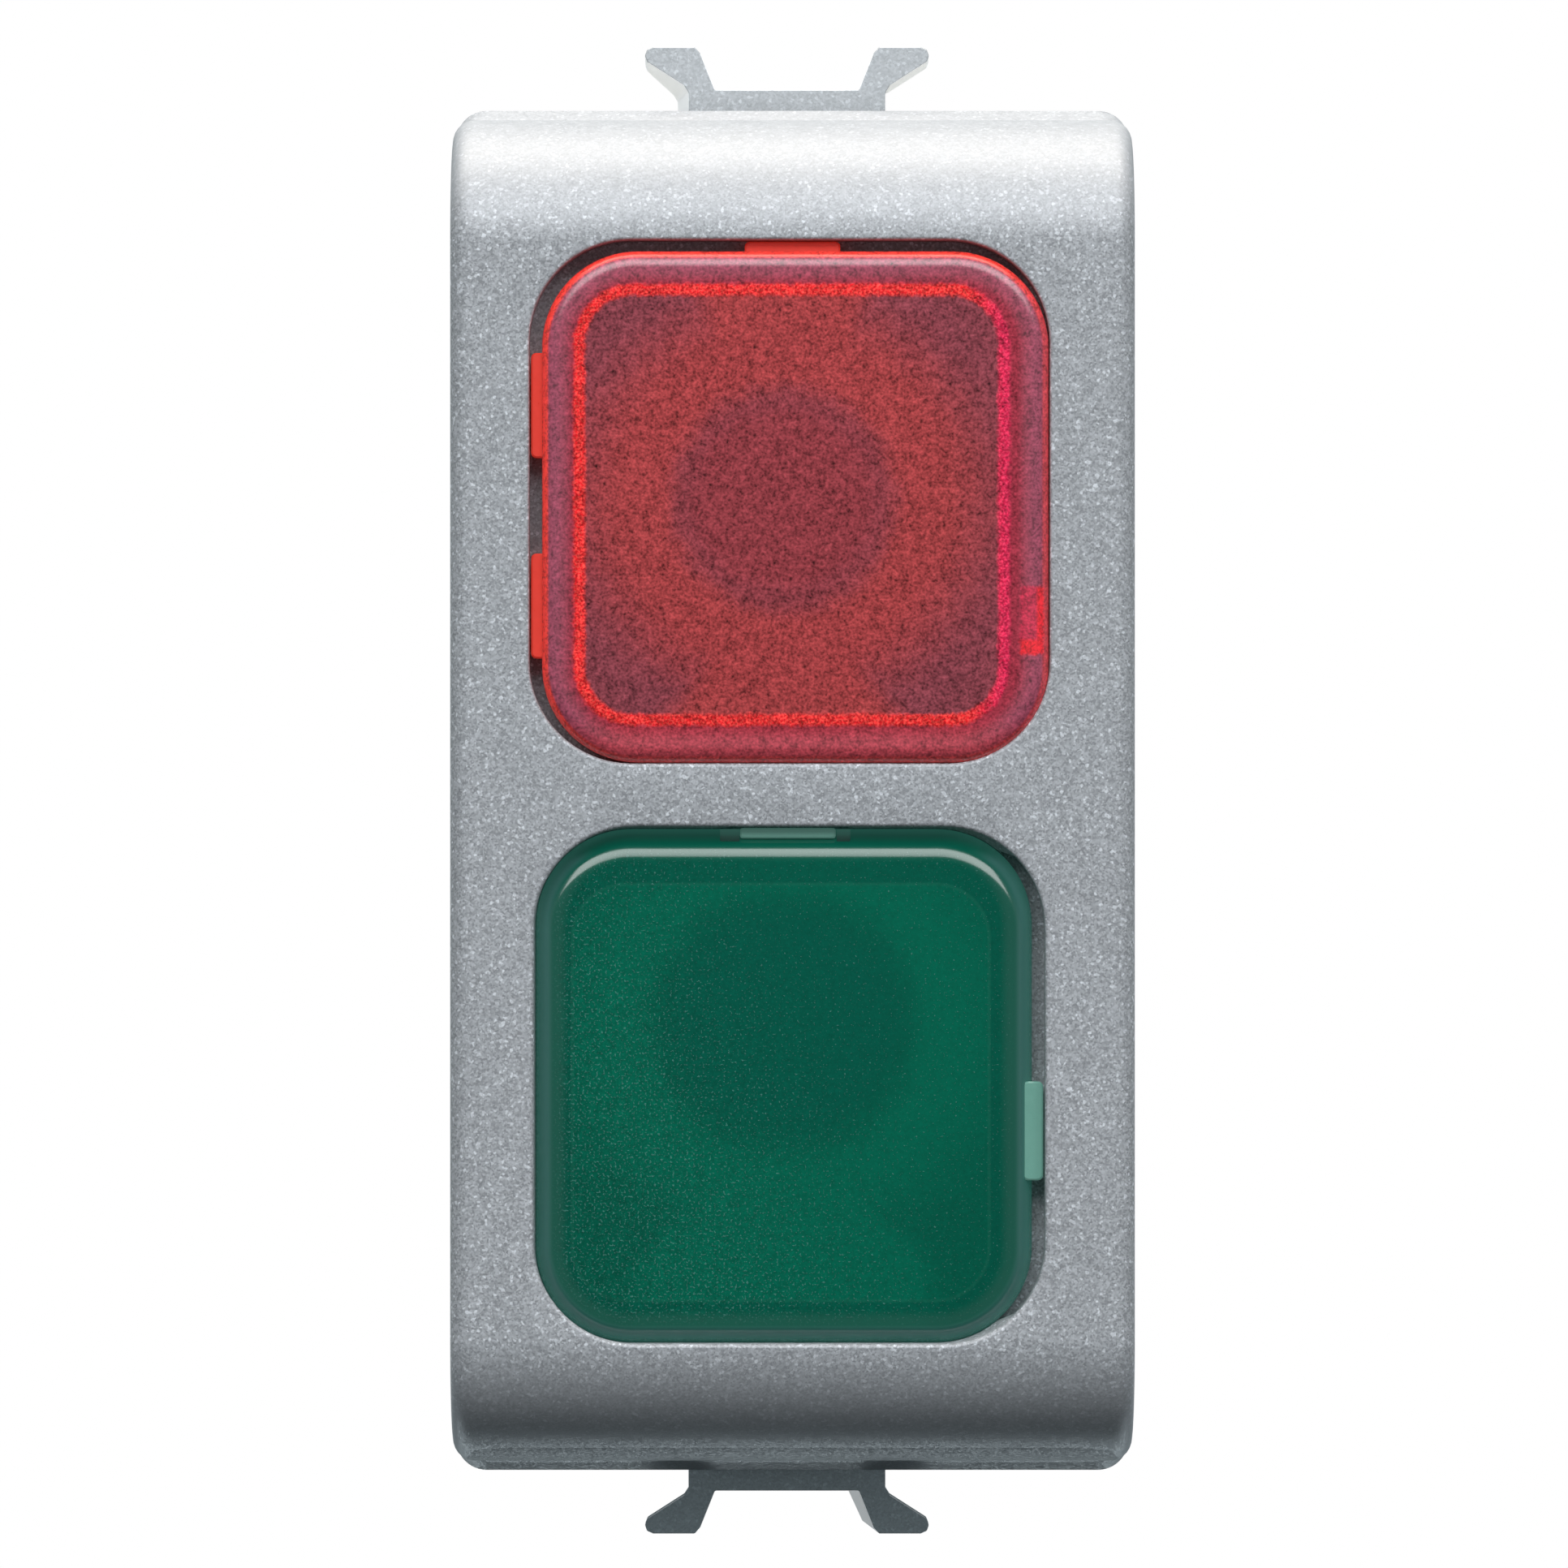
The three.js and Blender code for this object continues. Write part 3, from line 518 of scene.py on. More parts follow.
COVER = flake_plastic("titanium_flake", (173, 176, 181))
# The clips' flake is painted lighter than the cover's. The bottom clip's much lighter tint is painted fill
# light for the shade it sits in under the cover.
CLIP_FLAKES_PAINTED_LIGHTER = {
    "top_clip": flake_plastic("titanium_flake_top_clip", (182, 186, 190), 0.4, 0.4),
    "bottom_clip": flake_plastic("titanium_flake_bottom_clip_painted_fill", (222, 228, 232), 0.4, 0.4),
}
# Pale plastic on the horns' drafted flanks, with a painted glow (its emission) that stands in for light
# falling on them.
FLANK = plain(
    "clip_pale_flank_painted_glow", (236, 238, 240), 0.5, 0.3, 0.05, 0.004,
    Emission_Color=(1, 1, 1, 1), Emission_Strength=0.22)
BODY = plain("housing_spark_texture", (196, 198, 194), 0.58, 0.22, 0.1, 0.02)
SOCKET = plain("socket_ivory", (224, 216, 196), 0.5, 0.3, 0.08, 0.008)
WHITE = plain("reflector_white", (236, 236, 232), 0.3, 0.4, 0.04, 0.003, Coat_Weight=0.3)
CAP = plain("lamp_cap_plastic", (214, 213, 206), 0.4, 0.25, 0.06, 0.005)
BRASS = plain("contact_brass_strip", (208, 170, 104), 0.32, 0.12, 0.16, 0.003, Metallic=1.0)
STEEL = plain("clamp_steel_zinc", (186, 190, 196), 0.34, 0.1, 0.14, 0.003, Metallic=1.0)
ELECTRODE = plain("lamp_electrode_metal", (150, 150, 152), 0.4, 0.1, 0.2, 0.003, Metallic=1.0)
GLASS = plain("lamp_glass_clear", (250, 248, 244), 0.16, 0.6, 0.02, 0.001, Transmission_Weight=0.92, IOR=1.47)
# The tabs glow with painted light, from their emission: the red one for light coming through it, the green
# one to lift the shade it sits in by the window's edge.
TABS = {
    "red": plain(
        "red_tab_painted_glow", (236, 64, 48), 0.35, 0.2, 0.12, 0.006, Coat_Weight=0.4,
        Emission_Color=(0.9, 0.05, 0.03, 1), Emission_Strength=0.15),
    "green": plain(
        "green_tab_painted_glow", (92, 140, 128), 0.35, 0.2, 0.12, 0.006, Coat_Weight=0.4,
        Emission_Color=(0.11, 0.26, 0.21, 1), Emission_Strength=0.35),
}


# ---------------------------------------------------------------- front cover

def cover_profile():
    """Side view of the cover's skin, bottom to top: rows of (distance along it, y, z, normal y, normal z)."""
    rows = []
    flat_half = COVER_HALF_H - ROLL_H
    band_y = FRONT_Y + ROLL_D
    steps = 48
    half = [(FRONT_Y, 0.0, -1.0, 0.0)]
    for i in range(steps + 1):
        turn = math.radians(90) * i / steps
        y, z = band_y - ROLL_D * math.cos(turn), flat_half + ROLL_H * math.sin(turn)
        normal = Vector((-math.cos(turn) / ROLL_D, math.sin(turn) / ROLL_H)).normalized()
        half.append((y, z, normal.x, normal.y))
    half.append((COVER_REAR_Y, COVER_HALF_H, 0.0, 1.0))
    distance = 0.0
    for before, now in zip([half[0], *half], half):
        distance += math.hypot(now[0] - before[0], now[1] - before[1])
        rows.append((distance, *now))
    mirrored = [(-s, y, -z, ny, -nz) for s, y, z, ny, nz in reversed(rows[1:])]
    return np.array(mirrored + rows)


PROFILE = cover_profile()


def skin_point(x, s, sunk=0.0):
    """A point of the cover's skin, x across and s along it from the middle, sunk below the surface."""
    y, z, ny, nz = (np.interp(s, PROFILE[:, 0], PROFILE[:, i]) for i in range(1, 5))
    into_edge = SIDE_ROUND - (HALF_W - abs(x))
    if into_edge > 0:
        sunk += SIDE_ROUND - math.sqrt(max(SIDE_ROUND ** 2 - into_edge ** 2, 0))
    return Vector((x, y - ny * sunk, z - nz * sunk)) * MM


def dense_loop(points, pieces_per_side=32):
    """The (x, z) of a rounded loop, with points along its straight sides too, so that no triangle is thin."""
    dense = []
    for a, b in zip(points, points[1:] + points[:1]):
        pieces = pieces_per_side if math.dist(a, b) > 2 else 1
        for i in range(pieces):
            dense.append((a[0] + (b[0] - a[0]) * i / pieces, a[2] + (b[2] - a[2]) * i / pieces))
    return dense


def window_loop(light, grow):
    w, h = WINDOW_SIZE[light]
    return dense_loop(rounded_loop(
        w + 2 * grow, h + 2 * grow, WINDOW_CORNER + grow, WINDOW_X, WINDOW_Z[light], 0, steps=16))


def past_window(light, x, s):
    """How far a place on the flat face is outside a window's edge."""
    w, h = WINDOW_SIZE[light]
    dx = max(abs(x - WINDOW_X) - (w / 2 - WINDOW_CORNER), 0)
    dz = max(abs(s - WINDOW_Z[light]) - (h / 2 - WINDOW_CORNER), 0)
    return math.hypot(dx, dz) - WINDOW_CORNER


def keeps_gap(light, x, z):
    """Whether a window's wall stays upright at a place: along a side that has tabs, and round a top tab."""
    lens_x, lens_z = LENS_AT[light]
    dx, dz = x - lens_x, z - lens_z
    for side, at, length in TABS_AT[light]:
        if side == "top":
            beside = dz > abs(dx) and abs(x - at) < length / 2 + TAB_POCKET
        else:
            beside = abs(dx) > abs(dz) and (dx > 0) == (side == "right")
        if beside:
            return True
    return False


def drafted_loop(light):
    """Where a window's wall ends its slope: close round the lens, or at the window's edge if it has none."""
    rim = window_loop(light, 0)
    if light not in DRAFTED_WINDOWS:
        return rim
    x, z = LENS_AT[light]
    w, h = (size + 2 * LENS_GAP for size in LENS_SIZE[light])
    lens_side = dense_loop(rounded_loop(w, h, LENS_CORNER + LENS_GAP, x, z, 0, steps=16))
    return [edge if keeps_gap(light, *edge) else close for edge, close in zip(rim, lens_side)]


def cover_skin():
    """The cover's outside as one closed solid, with a pocket at each window whose rim is rounded over."""
    edge_turns = [math.radians(90) * i / 7 for i in range(8)]
    edge_x = [HALF_W - SIDE_ROUND * (1 - math.sin(t)) for t in edge_turns]
    inner_x = np.linspace(0, edge_x[0], 10)[:-1]
    columns = sorted({round(sign * x, 6) for x in [*inner_x, *edge_x] for sign in (-1, 1)})
    flat_half = PROFILE[PROFILE[:, 3] < -0.999999][:, 0].max()
    rolled = [s for s in PROFILE[:, 0] if abs(s) > flat_half - 1e-6]
    flat = np.linspace(-flat_half, flat_half, 33)
    rows = sorted({round(s, 6) for s in [*rolled, *flat]})

    fillet_steps = 6
    points, constraints, sunk = [], [], []
    loops = {}
    for light in LIGHTS:
        radius = WINDOW_FILLET[light]
        loops[light] = []
        for i in range(fillet_steps + 1):
            turn = math.radians(90) * i / fillet_steps
            loop = window_loop(light, radius * (1 - math.sin(turn)))
            start = len(points)
            points += loop
            sunk += [radius * (1 - math.cos(turn))] * len(loop)
            ring = list(range(start, len(points)))
            constraints += list(zip(ring, ring[1:] + ring[:1]))
            loops[light].append(ring)

    def clear_of_windows(x, s):
        return all(past_window(light, x, s) > WINDOW_FILLET[light] + 0.25 for light in LIGHTS)

    grid = [(x, s) for s in rows for x in columns if clear_of_windows(x, s)]
    points += grid
    sunk += [0.0] * len(grid)

    result = geometry.delaunay_2d_cdt([Vector(p) for p in points], constraints, [], 0, 1e-6, True)
    out_points, _, triangles, sources = result[:4]
    depth = [sunk[ids[0]] if ids else 0.0 for ids in sources]
    mesh = bmesh.new()
    verts = [mesh.verts.new(skin_point(p.x, p.y, d)) for p, d in zip(out_points, depth)]
    where = {i: verts[k] for k, ids in enumerate(sources) for i in ids}

    rims = [set(loops[light][-1]) for light in LIGHTS]
    for triangle in triangles:
        ids = [set(sources[i]) for i in triangle]
        in_window = any(all(source & rim for source in ids) for rim in rims)
        if not in_window:
            mesh.faces.new([verts[i] for i in triangle])

    pocket_y = (COVER_REAR_Y - 0.6) * MM
    for light in LIGHTS:
        rim = [where[i] for i in loops[light][-1]]
        drafted = drafted_loop(light)
        middle_y = (FRONT_Y + WINDOW_FILLET[light] + WALL_DRAFT_Y) * MM
        slope_end = [mesh.verts.new((x * MM, middle_y, z * MM)) for x, z in drafted]
        floor = [mesh.verts.new((x * MM, pocket_y, z * MM)) for x, z in drafted]
        for near, far in ((rim, slope_end), (slope_end, floor)):
            for i in range(len(rim)):
                j = (i + 1) % len(rim)
                mesh.faces.new((near[i], far[i], far[j], near[j]))
        mesh.faces.new(floor)

    # the two flat sides, then the flat back
    for sign in (-1, 1):
        edge = sorted((v for v in verts if abs(v.co.x - sign * HALF_W * MM) < 1e-8), key=lambda v: v.co.z)
        mesh.faces.new(edge)
    open_edges = [e for e in mesh.edges if e.is_boundary]
    bmesh.ops.contextual_create(mesh, geom=open_edges)
    bmesh.ops.recalc_face_normals(mesh, faces=mesh.faces)
    return mesh


def cover_cavity():
    """What is hollowed out behind the cover's wall."""
    loops = []
    inner_w, half_h = 2 * (HALF_W - WALL), COVER_HALF_H - WALL
    for i in range(9):
        turn = math.radians(90) * i / 8
        y = FRONT_Y + WALL + ROLL_D * (1 - math.cos(turn))
        z_half = half_h - ROLL_H * (1 - math.sin(turn))
        loops.append(rounded_loop(inner_w, 2 * z_half, 0.5, 0, 0, y, steps=4))
    loops.append(rounded_loop(inner_w, 2 * half_h, 0.5, 0, 0, COVER_REAR_Y + 1, steps=4))
    return loft(loops)


def window_surround(light):
    """Thick band round a window, with the ledge that the lens sits on."""
    (w, h), r = WINDOW_SIZE[light], WINDOW_CORNER
    front, rear = FRONT_Y + WALL / 2, LEDGE_Y + LEDGE_T
    hidden = 0.04
    sizes = [
        (SURROUND, front), (SURROUND, rear), (-LEDGE_INSET, rear), (-LEDGE_INSET, LEDGE_Y),
        (hidden, LEDGE_Y), (hidden, front),
    ]
    return loft([
        rounded_loop(w + 2 * g, h + 2 * g, r + g, WINDOW_X, WINDOW_Z[light], y) for g, y in sizes], ring=True)


def build_cover():
    skin = combine(cover_skin(), cover_cavity(), "DIFFERENCE")
    for light in LIGHTS:
        skin = combine(skin, window_surround(light), "UNION")
    mesh = to_mesh(skin, "cover_shell")
    new_object("cover_shell", mesh, COVER, "housing", "front_cover")


# ---------------------------------------------------------------- diffusers

def eased_edge(light):
    """Pairs of (share of the edge's width, depth below the face), from a lens's side to its face."""
    width, top_width = LENS_EDGE[light], LENS_TOP_EDGE[light]
    steps = 8
    if light == "red":
        start = math.radians(25)
        turns = [start + (math.radians(90) - start) * i / steps for i in range(steps + 1)]
        reach = math.cos(start)
        return [(1 - math.cos(t) / reach, width * (1 - math.sin(t)) / reach) for t in turns]
    slope = math.radians(38)
    flat = 0.48                   # share of the edge that is a plain chamfer
    radius = (1 - flat) * top_width / math.sin(slope)
    tilts = [slope * (1 - i / steps) for i in range(steps + 1)]
    rounded = [(1 - radius * math.sin(t) / top_width, radius * (1 - math.cos(t))) for t in tilts]
    return [(0.0, rounded[0][1] + flat * top_width * math.tan(slope)), *rounded]


def build_lens(light):
    """Rounded cap with a skirt, and snap tabs in a brighter material with a painted glow that reach to the
    window's edge.
    """
    low, high = span(f"{light}_lens")
    w, h = LENS_SIZE[light]
    x, z = LENS_AT[light]
    loops = [rounded_loop(w, h, LENS_CORNER, x, z, LENS_REAR_Y, steps=20)]
    for share, depth in eased_edge(light):
        inset, top_inset = LENS_EDGE[light] * share, LENS_TOP_EDGE[light] * share
        loops.append(rounded_loop(
            w - 2 * inset, h - inset - top_inset, LENS_CORNER - inset, x, z + (inset - top_inset) / 2,
            low.y + depth, steps=20))
    cap = loft(loops)
    skirt_sizes = [(14.3, -7.5), (14.3, high.y), (12.9, high.y), (12.9, -7.5)]
    skirt = loft([rounded_loop(s, s, s / 2 - 5.2, x, z, y, steps=10) for s, y in skirt_sizes], ring=True)
    cap = combine(cap, skirt, "UNION")
    if light == "green":
        for slot_x, slot_w in ((-2.03, 0.64), (1.65, 0.45)):
            slot = loft([
                rounded_loop(slot_w, 0.8, 0.05, slot_x, z + h / 2, y, steps=2) for y in (-8.05, -9.5)])
            cap = combine(cap, slot, "DIFFERENCE")
    body = f"{light}_lens"
    name = f"{light}_diffuser_cap"
    new_object(name, to_mesh(cap, name, 50), diffuser(light), body, body)

    window_w, window_h = WINDOW_SIZE[light]
    reach = window_w / 2 - 0.05
    bite = 0.3
    spans = {
        "left": ((WINDOW_X - reach, x - w / 2 + bite), "x"),
        "right": ((x + w / 2 - bite, WINDOW_X + reach), "x"),
        "top": ((z + h / 2 - bite, WINDOW_Z[light] + window_h / 2 - 0.04), "z"),
    }
    for number, (side, at, length) in enumerate(TABS_AT[light]):
        across, axis = spans[side]
        middle = sum(across) / 2
        width = across[1] - across[0]
        centre = (middle, z + at) if axis == "x" else (at, middle)
        size = (width, length) if axis == "x" else (length, width)
        corner = 0.25 * min(size)
        rows = [(0.0, -7.5), (0.0, -8.45), (0.05, -8.5)]
        tab = loft([
            rounded_loop(size[0] - 2 * g, size[1] - 2 * g, corner - g / 2, *centre, y, steps=3)
            for g, y in rows])
        name = f"{light}_diffuser_tab_{number + 1}"
        new_object(name, to_mesh(tab, name), TABS[light], body, None)


# ---------------------------------------------------------------- clips and frame

HORN_Y = (0.4, 1.6)               # front and rear of the horned plate
HORN_WEB_Z = 23.0                 # the horns stand out of the web above this
HORN_TOP_Z = 24.45                # the ends of the horns are above this
FLANK_W = 0.36                    # how much of a drafted flank shows from the front


def draft(above, x, z):
    """How far the rear of the horned plate is moved at a place of its outline, x from the clip's middle."""
    z = abs(z)
    if not above:
        in_right_horn = 2.2 < x < 2.98 and z > HORN_WEB_Z
        return (-FLANK_W, 0.15 if z > 24 else 0.0) if in_right_horn else (0.0, 0.0)
    under_tip = HORN_WEB_Z < z < HORN_TOP_Z
    if x < -3.0 and z < HORN_TOP_Z:
        towards_tip = min(max((-x - 3.4) / 1.2, 0), 1)
        return -FLANK_W * (1 - towards_tip), -0.7 * FLANK_W if under_tip else 0.0
    if x > 3.35 and under_tip:
        return 0.0, -0.4 * FLANK_W
    return 0.0, 0.0


def flatten_normals(piece):
    """Shades each broad flat face evenly, leaving the bend to the narrow eased edges."""
    modifier = piece.modifiers.new("even_faces", "WEIGHTED_NORMAL")
    modifier.keep_sharp = True
    modifier.weight = 100


def build_clip(name):
    """Horned clip with eased edges, its horns drafted so that some pale flanks, with a painted glow, show
    from the front.
    """
    mesh = softened(name, 0.04)
    bmesh.ops.bisect_plane(
        mesh, geom=[*mesh.verts, *mesh.edges, *mesh.faces], dist=1e-7, plane_co=(0, HORN_Y[1] * MM, 0),
        plane_no=(0, 1, 0))
    low, high = span(name)
    middle_x, above = (low.x + high.x) / 2, high.z > 0
    for vert in mesh.verts:
        x, y, z = vert.co / MM
        if HORN_Y[0] + 0.1 < y < HORN_Y[1] + 0.01:
            dx, dz = draft(above, x - middle_x, z)
            vert.co += Vector((dx, 0, dz)) * MM
    mesh.normal_update()
    for face in mesh.faces:
        middle = face.calc_center_median() / MM
        on_plate = middle.y < HORN_Y[1] - 0.05 and abs(middle.z) > 21.4
        drafted = abs(face.normal.y) < 0.5 and face.normal.y < -0.02
        if on_plate and drafted and face.calc_area() > 0.02 * MM ** 2:
            face.material_index = 1
    piece_name = f"{name}_moulding"
    finished = to_mesh(mesh, piece_name)
    flatten_normals(new_object(
        piece_name, finished, [CLIP_FLAKES_PAINTED_LIGHTER[name], FLANK], name, name))


def build_soft_copies():
    """CAD shapes kept as they are, with eased edges and a real surface."""
    jobs = [
        ("clip_frame", 0.05, COVER, "titanium_plastic"),
        ("rear_housing", 0.15, BODY, "housing_plastic"),
        ("rear_cover", 0.18, BODY, "housing_plastic"),
    ]
    for light in LIGHTS:
        jobs.append((f"{light}_socket", 0.12, SOCKET, "socket_plastic"))
        for side in ("left", "right"):
            jobs.append((f"{light}_{side}_strip", 0.08, BRASS, "contact_brass"))
            jobs.append((f"{light}_{side}_cage", 0.1, STEEL, "clamp_steel"))
    body_of = {n: b for b, nodes in frame["record"]["behaviour"]["bodies"].items() for n in nodes}
    for node, width, material, slot in jobs:
        name = f"{node}_finished"
        mesh = to_mesh(softened(node, width), name)
        flatten_normals(new_object(name, mesh, material, body_of[node], node))


# ---------------------------------------------------------------- turned pieces

def turned(outline, x, z, steps=64):
    """A solid turned about a line along Y from (radius, y) pairs; a zero radius closes an end."""
    tiny = 0.01
    return loft([circle_loop(max(r, tiny), x, z, y, steps) for r, y in outline])


def centre_of(node):
    low, high = span(node)
    return (low.x + high.x) / 2, (low.z + high.z) / 2, low, high


def arc(r_from, y_from, r_to, y_to, steps=5):
    """A quarter round between two points of a turned outline, bulging outwards and to the front."""
    points = []
    for i in range(steps + 1):
        turn = math.radians(90) * i / steps
        points.append((r_from + (r_to - r_from) * math.sin(turn), y_to + (y_from - y_to) * math.cos(turn)))
    return points


def build_lamp(light):
    """Glass envelope with two electrodes in it, its plug-in cap and the resistor in the cap."""
    x, z, low, high = centre_of(f"{light}_bulb")
    radius = high.x - x
    outer = [(0, low.y), *arc(0, low.y, radius, low.y + radius, 14)[1:], (radius, high.y - 0.3),
             (radius - 0.3, high.y), (0, high.y)]
    name = f"{light}_lamp_envelope"
    new_object(
        name, to_mesh(turned(outer, x, z), name, 60), GLASS, "housing", f"{light}_bulb")
    for side, sign in (("left", -1), ("right", 1)):
        rod_x = x + sign * 0.75
        rod = turned([
            (0, low.y + 1.1), (0.42, low.y + 1.2), (0.5, low.y + 1.4), (0.5, high.y - 2.2),
            (0.2, high.y - 1.8), (0.2, high.y - 0.4), (0, high.y - 0.4)], rod_x, z, 24)
        name = f"{light}_lamp_electrode_{side}"
        new_object(name, to_mesh(rod, name), ELECTRODE, "housing", None)

    x, z, low, high = centre_of(f"{light}_lamp_base")
    r, wall, round_off = high.x - x, 0.9, 0.2
    base = turned([
        (0, low.y), (r - round_off, low.y), (r - 0.06, low.y + 0.06), (r, low.y + round_off),
        (r, high.y - round_off), (r - round_off, high.y), (r - wall + 0.1, high.y), (r - wall, high.y - 0.1),
        (r - wall, low.y + wall), (0, low.y + wall)], x, z)
    name = f"{light}_lamp_cap"
    new_object(name, to_mesh(base, name), CAP, "housing", f"{light}_lamp_base")

    x, z, low, high = centre_of(f"{light}_resistor")
    r, lead, start, end = high.x - x, 0.3, low.y + 0.8, high.y - 1.2
    resistor = turned([
        (0, low.y), (lead, low.y), (lead, start), (r * 0.7, start), (r * 0.95, start + 0.2), (r, start + 0.5),
        (r * 0.86, start + 1.0), (r * 0.86, end - 1.0), (r, end - 0.5), (r * 0.95, end - 0.2), (r * 0.7, end),
        (lead, end), (lead, high.y), (0, high.y)], x, z, 40)
    name = f"{light}_ballast_resistor"
    material = banded(f"{light}_resistor_lacquer", f"{light}_resistor")
    new_object(name, to_mesh(resistor, name), material, "housing", f"{light}_resistor")


def build_reflector(light):
    """White cup, strap and flared foot, with rounded rims."""
    x, z, _, _ = centre_of(f"{light}_bulb")
    front, rear = (corner.y for corner in span(f"{light}_reflector"))
    mouth, throat, wall = 5.8, 3.8, 0.6
    outline = [
        (mouth, front + 0.15), (mouth + 0.2, front), (mouth + wall - 0.15, front),
        (mouth + wall, front + 0.15), (mouth + wall, front + 1.0), (throat + wall, 1.0),
        (throat + wall, rear), (throat, rear), (throat, 0.4),
    ]
    cup = loft([circle_loop(r, x, z, y, 96) for r, y in outline], ring=True)
    half, above, below, foot_half, foot_below = 2.6, 7.2, 6.4, 4.2, 8.3
    plates = []
    strap = [(-half, above), (half, above), (half, mouth - 1.0), (-half, mouth - 1.0)]
    foot = [
        (-foot_half, -foot_below), (foot_half, -foot_below), (half, -below), (half, 1.0 - mouth),
        (-half, 1.0 - mouth), (-half, -below)]
    hole_r = mouth + wall / 2
    hole_outline = [(0, front - 1), (hole_r, front - 1), (hole_r, front + 2), (0, front + 2)]
    for corners in (strap, foot):
        plate = loft([[(x + a, y, z + b) for a, b in corners] for y in (front, front + wall)])
        ease(plate, plate.edges[:], 0.12, 2)
        plates.append(combine(plate, turned(hole_outline, x, z, 96), "DIFFERENCE"))
    for plate in plates:
        cup = combine(cup, plate, "UNION")
    name = f"{light}_light_cup"
    new_object(name, to_mesh(cup, name), WHITE, "housing", f"{light}_reflector")


def build_screw(node):
    """Clamp screw with a real thread, a rounded head and a combined slot."""
    x, z, low, high = centre_of(node)
    head_r, shank_r = high.x - x, 1.5
    head_y = high.y - 1.4
    pitch, depth, steps = 0.5, 0.28, 40
    core_r = shank_r - depth
    body = turned([
        (0, low.y), (core_r - 0.3, low.y), (core_r, low.y + 0.3), (core_r, head_y), (head_r - 0.1, head_y),
        (head_r, head_y + 0.12), (head_r, high.y - 0.35), (head_r - 0.1, high.y - 0.14),
        (head_r - 0.32, high.y), (0, high.y)], x, z, 48)
    half, cross_half = 0.35, 1.4
    for size_x, size_z in ((2 * head_r + 1, 2 * half), (2 * half, 2 * cross_half)):
        slot = loft([
            [(x + sx * size_x / 2, y, z + sz * size_z / 2) for sx, sz in ((1, 1), (-1, 1), (-1, -1), (1, -1))]
            for y in (high.y - 0.7, high.y + 0.5)])
        body = combine(body, slot, "DIFFERENCE")
    turns = (head_y - 0.25 - low.y - 0.2) / pitch
    sections = int(turns * steps)
    loops = []
    for i in range(sections + 1):
        turn = 2 * math.pi * i / steps
        y = low.y + 0.2 + pitch * i / steps
        grow = min(1, i / 12, (sections - i) / 12)
        crest = core_r - 0.05 + (depth + 0.05) * max(grow, 0.2)
        ring = [(core_r - 0.08, y - 0.2), (crest, y - 0.04), (crest, y + 0.04), (core_r - 0.08, y + 0.2)]
        loops.append([(x + r * math.cos(turn), yy, z + r * math.sin(turn)) for r, yy in ring])
    thread = loft(loops)
    name = f"{node}_threaded"
    mesh = to_mesh(merged(body, thread), name)
    new_object(name, mesh, STEEL, node, node)


# ---------------------------------------------------------------- camera, light and ground

def aim(thing, target):
    direction = Vector(target) - thing.location
    thing.rotation_euler = direction.to_track_quat("-Z", "Y").to_euler()


def build_camera():
    """Square to the front, far off, so that the sides of the cover don't show."""
    distance = 0.420
    width_share = 0.4374          # the module's width as a share of the picture's
    data = bpy.data.cameras.new("camera")
    data.sensor_width = 36
    data.lens = data.sensor_width * distance / (2 * HALF_W * MM / width_share)
    camera = bpy.data.objects.new("camera", data)
    bpy.context.scene.collection.objects.link(camera)
    camera.location = (-0.276 * MM, FRONT_Y * MM - distance, 0.21 * MM)
    camera.rotation_euler = (math.radians(90), 0, 0)
    bpy.context.scene.camera = camera


def soft_light(name, elevation, azimuth, distance, size, irradiance, tint=(1, 1, 1)):
    """Area light at an elevation above the front's own direction, azimuth degrees to the right of it."""
    data = bpy.data.lights.new(name, "AREA")
    data.shape = "RECTANGLE"
    data.size, data.size_y = size
    data.energy = irradiance * math.pi * distance ** 2
    data.color = tint
    light = bpy.data.objects.new(name, data)
    bpy.context.scene.collection.objects.link(light)
    up, side = math.radians(elevation), math.radians(azimuth)
    light.location = Vector((
        math.sin(side) * math.cos(up), -math.cos(side) * math.cos(up), math.sin(up))) * distance
    aim(light, (0, 0, 0))


def build_lights():
    soft_light("key_front", 40, 3, 0.6, (0.9, 0.36), 4.05)
    soft_light("key_above", 100, 0, 0.6, (0.9, 0.42), 5.15, (1, 0.92, 0.83))
    soft_light("kick_below", -133, 0, 0.6, (0.9, 0.3), 1.8, (0.88, 1, 1.04))


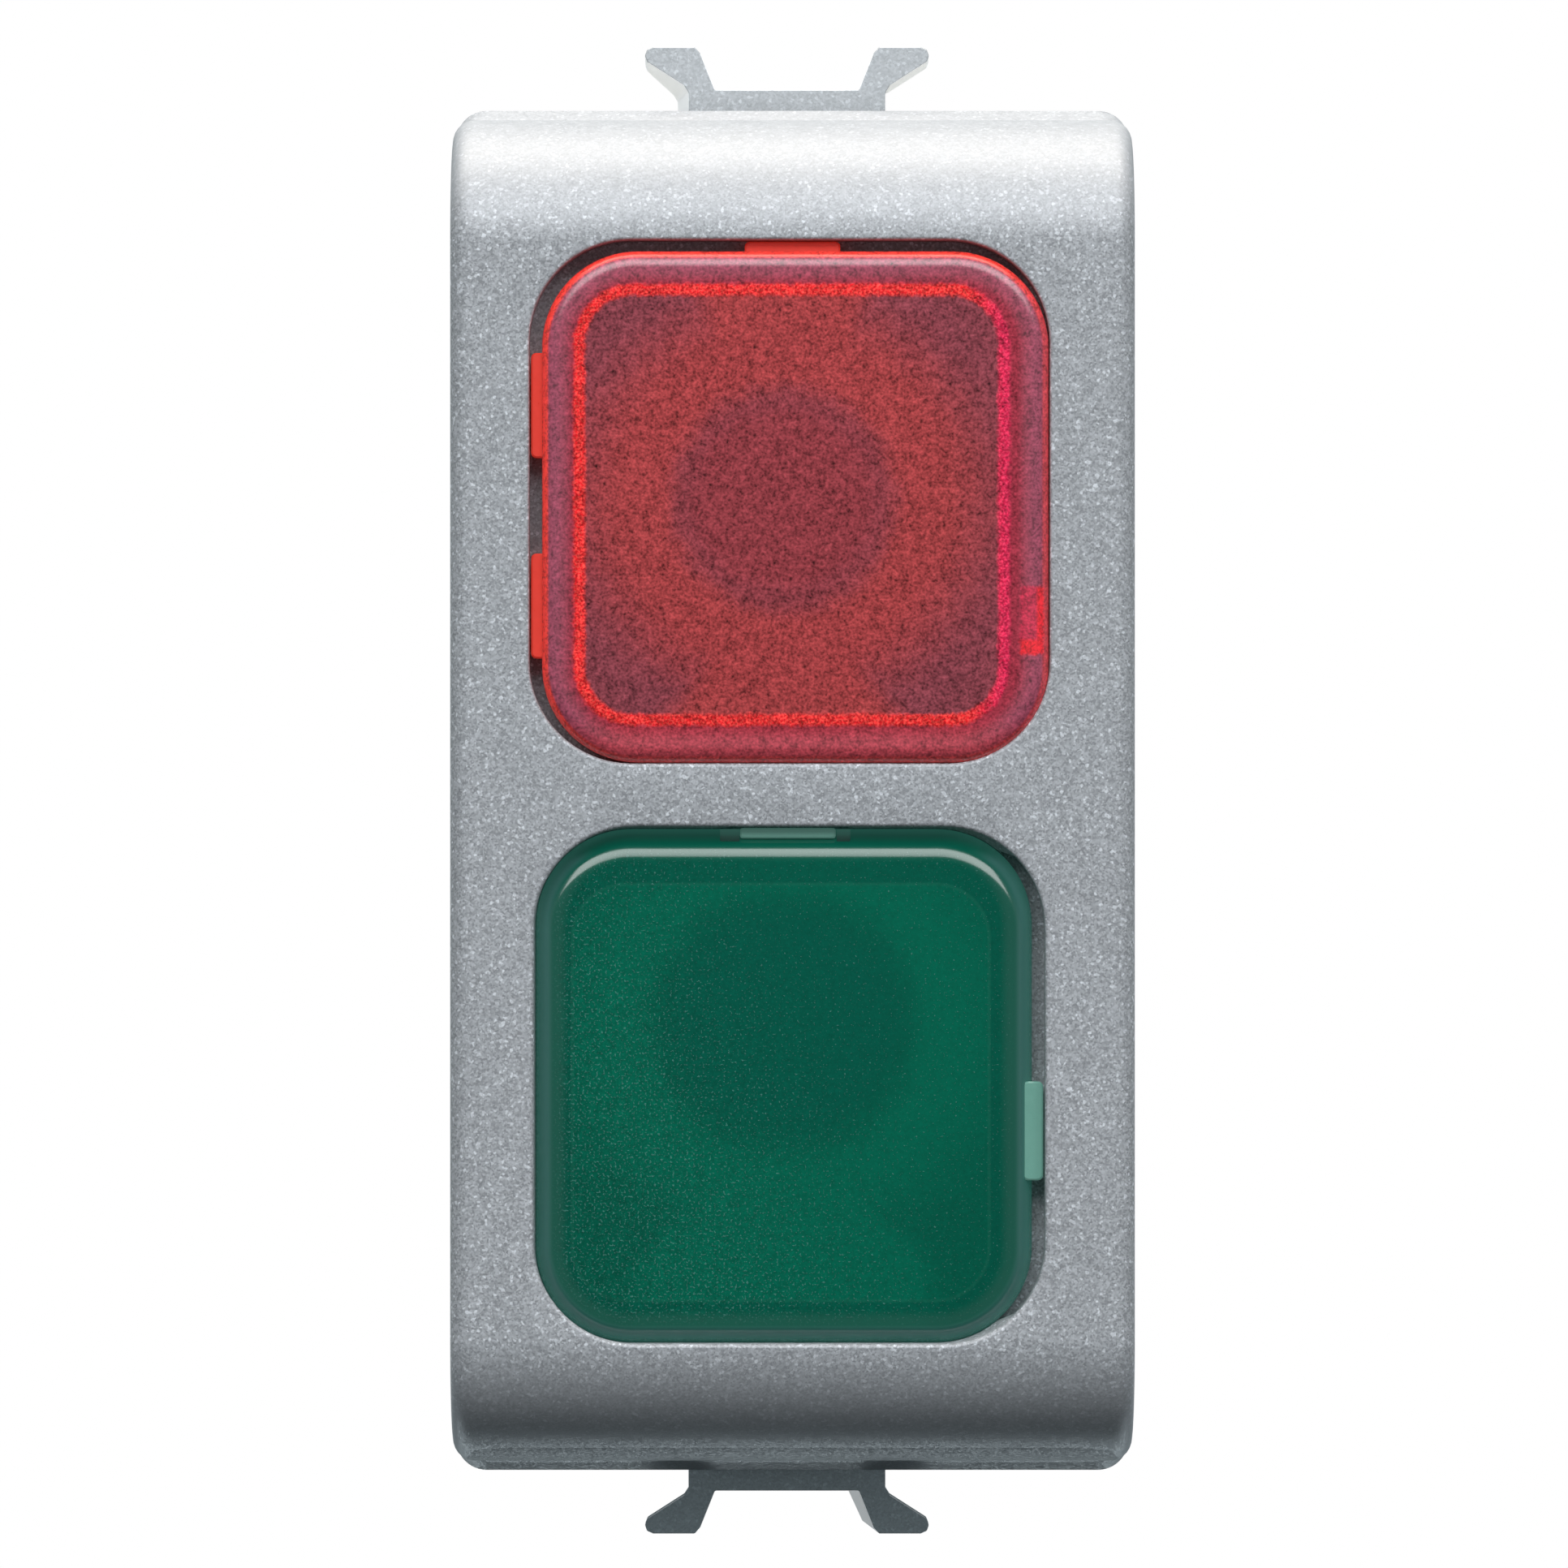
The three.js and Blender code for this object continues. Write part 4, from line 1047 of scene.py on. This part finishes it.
def build_world():
    """White behind the object; towards it, a cool ambient light that is stronger from behind and above."""
    world = bpy.data.worlds.new("studio")
    bpy.context.scene.world = world
    world.use_nodes = True
    tree = world.node_tree
    tree.nodes.clear()
    output = tree.nodes.new("ShaderNodeOutputWorld")
    path = tree.nodes.new("ShaderNodeLightPath")
    choose = tree.nodes.new("ShaderNodeMixShader")
    seen = tree.nodes.new("ShaderNodeBackground")
    seen.inputs["Color"].default_value = (1, 1, 1, 1)
    ambient = tree.nodes.new("ShaderNodeBackground")
    ambient.inputs["Color"].default_value = (0.84, 1, 1.05, 1)
    coordinates = tree.nodes.new("ShaderNodeTexCoord")
    split = tree.nodes.new("ShaderNodeSeparateXYZ")
    tree.links.new(coordinates.outputs["Generated"], split.inputs[0])
    total = tree.nodes.new("ShaderNodeMath")
    ramps = (("Y", 0.35, 0.9, 0.0, 0.35), ("Z", -0.5, 0.0, 0.04, 0.25))
    for number, (axis, low, high, dark, bright) in enumerate(ramps):
        ramp = tree.nodes.new("ShaderNodeMapRange")
        ramp.interpolation_type = "SMOOTHSTEP"
        for socket, value in (("From Min", low), ("From Max", high), ("To Min", dark), ("To Max", bright)):
            ramp.inputs[socket].default_value = value
        tree.links.new(split.outputs[axis], ramp.inputs["Value"])
        tree.links.new(ramp.outputs["Result"], total.inputs[number])
    tree.links.new(total.outputs[0], ambient.inputs["Strength"])
    tree.links.new(path.outputs["Is Camera Ray"], choose.inputs[0])
    tree.links.new(ambient.outputs[0], choose.inputs[1])
    tree.links.new(seen.outputs[0], choose.inputs[2])
    tree.links.new(choose.outputs[0], output.inputs[0])


def build_floor():
    """Plain pale sheet well below the object, thin, with its rim eased on top."""
    half, top_z, rim = 1.35, -0.3, 0.02
    rows = ((half, top_z - rim), (half, top_z - rim / 2), (half - rim, top_z))
    mesh = bmesh.new()
    loops = [
        [mesh.verts.new((sx * size, sy * size, z)) for sx, sy in ((1, 1), (-1, 1), (-1, -1), (1, -1))]
        for size, z in rows]
    mesh.faces.new(loops[0])
    mesh.faces.new(loops[-1])
    for a, b in zip(loops, loops[1:]):
        for i in range(4):
            mesh.faces.new((a[i], a[(i + 1) % 4], b[(i + 1) % 4], b[i]))
    bmesh.ops.recalc_face_normals(mesh, faces=mesh.faces)
    data = bpy.data.meshes.new("floor")
    mesh.to_mesh(data)
    mesh.free()
    floor = bpy.data.objects.new("floor", data)
    bpy.context.scene.collection.objects.link(floor)
    data.materials.append(plain(
        "floor_paper", (244, 244, 243), 0.8, 2.0, 0.02, 0.01,
        Emission_Color=(1, 1, 1, 1), Emission_Strength=0.12))
    floor.visible_diffuse = False
    floor.visible_glossy = False


# ---------------------------------------------------------------- the scene

bpy.context.scene.view_settings.view_transform = "Standard"
build_camera()
build_lights()
build_world()
build_floor()
build_cover()
build_soft_copies()
for clip in ("top_clip", "bottom_clip"):
    build_clip(clip)
for light in LIGHTS:
    build_lens(light)
    build_lamp(light)
    build_reflector(light)
    for side in ("left", "right"):
        build_screw(f"{light}_{side}_screw")
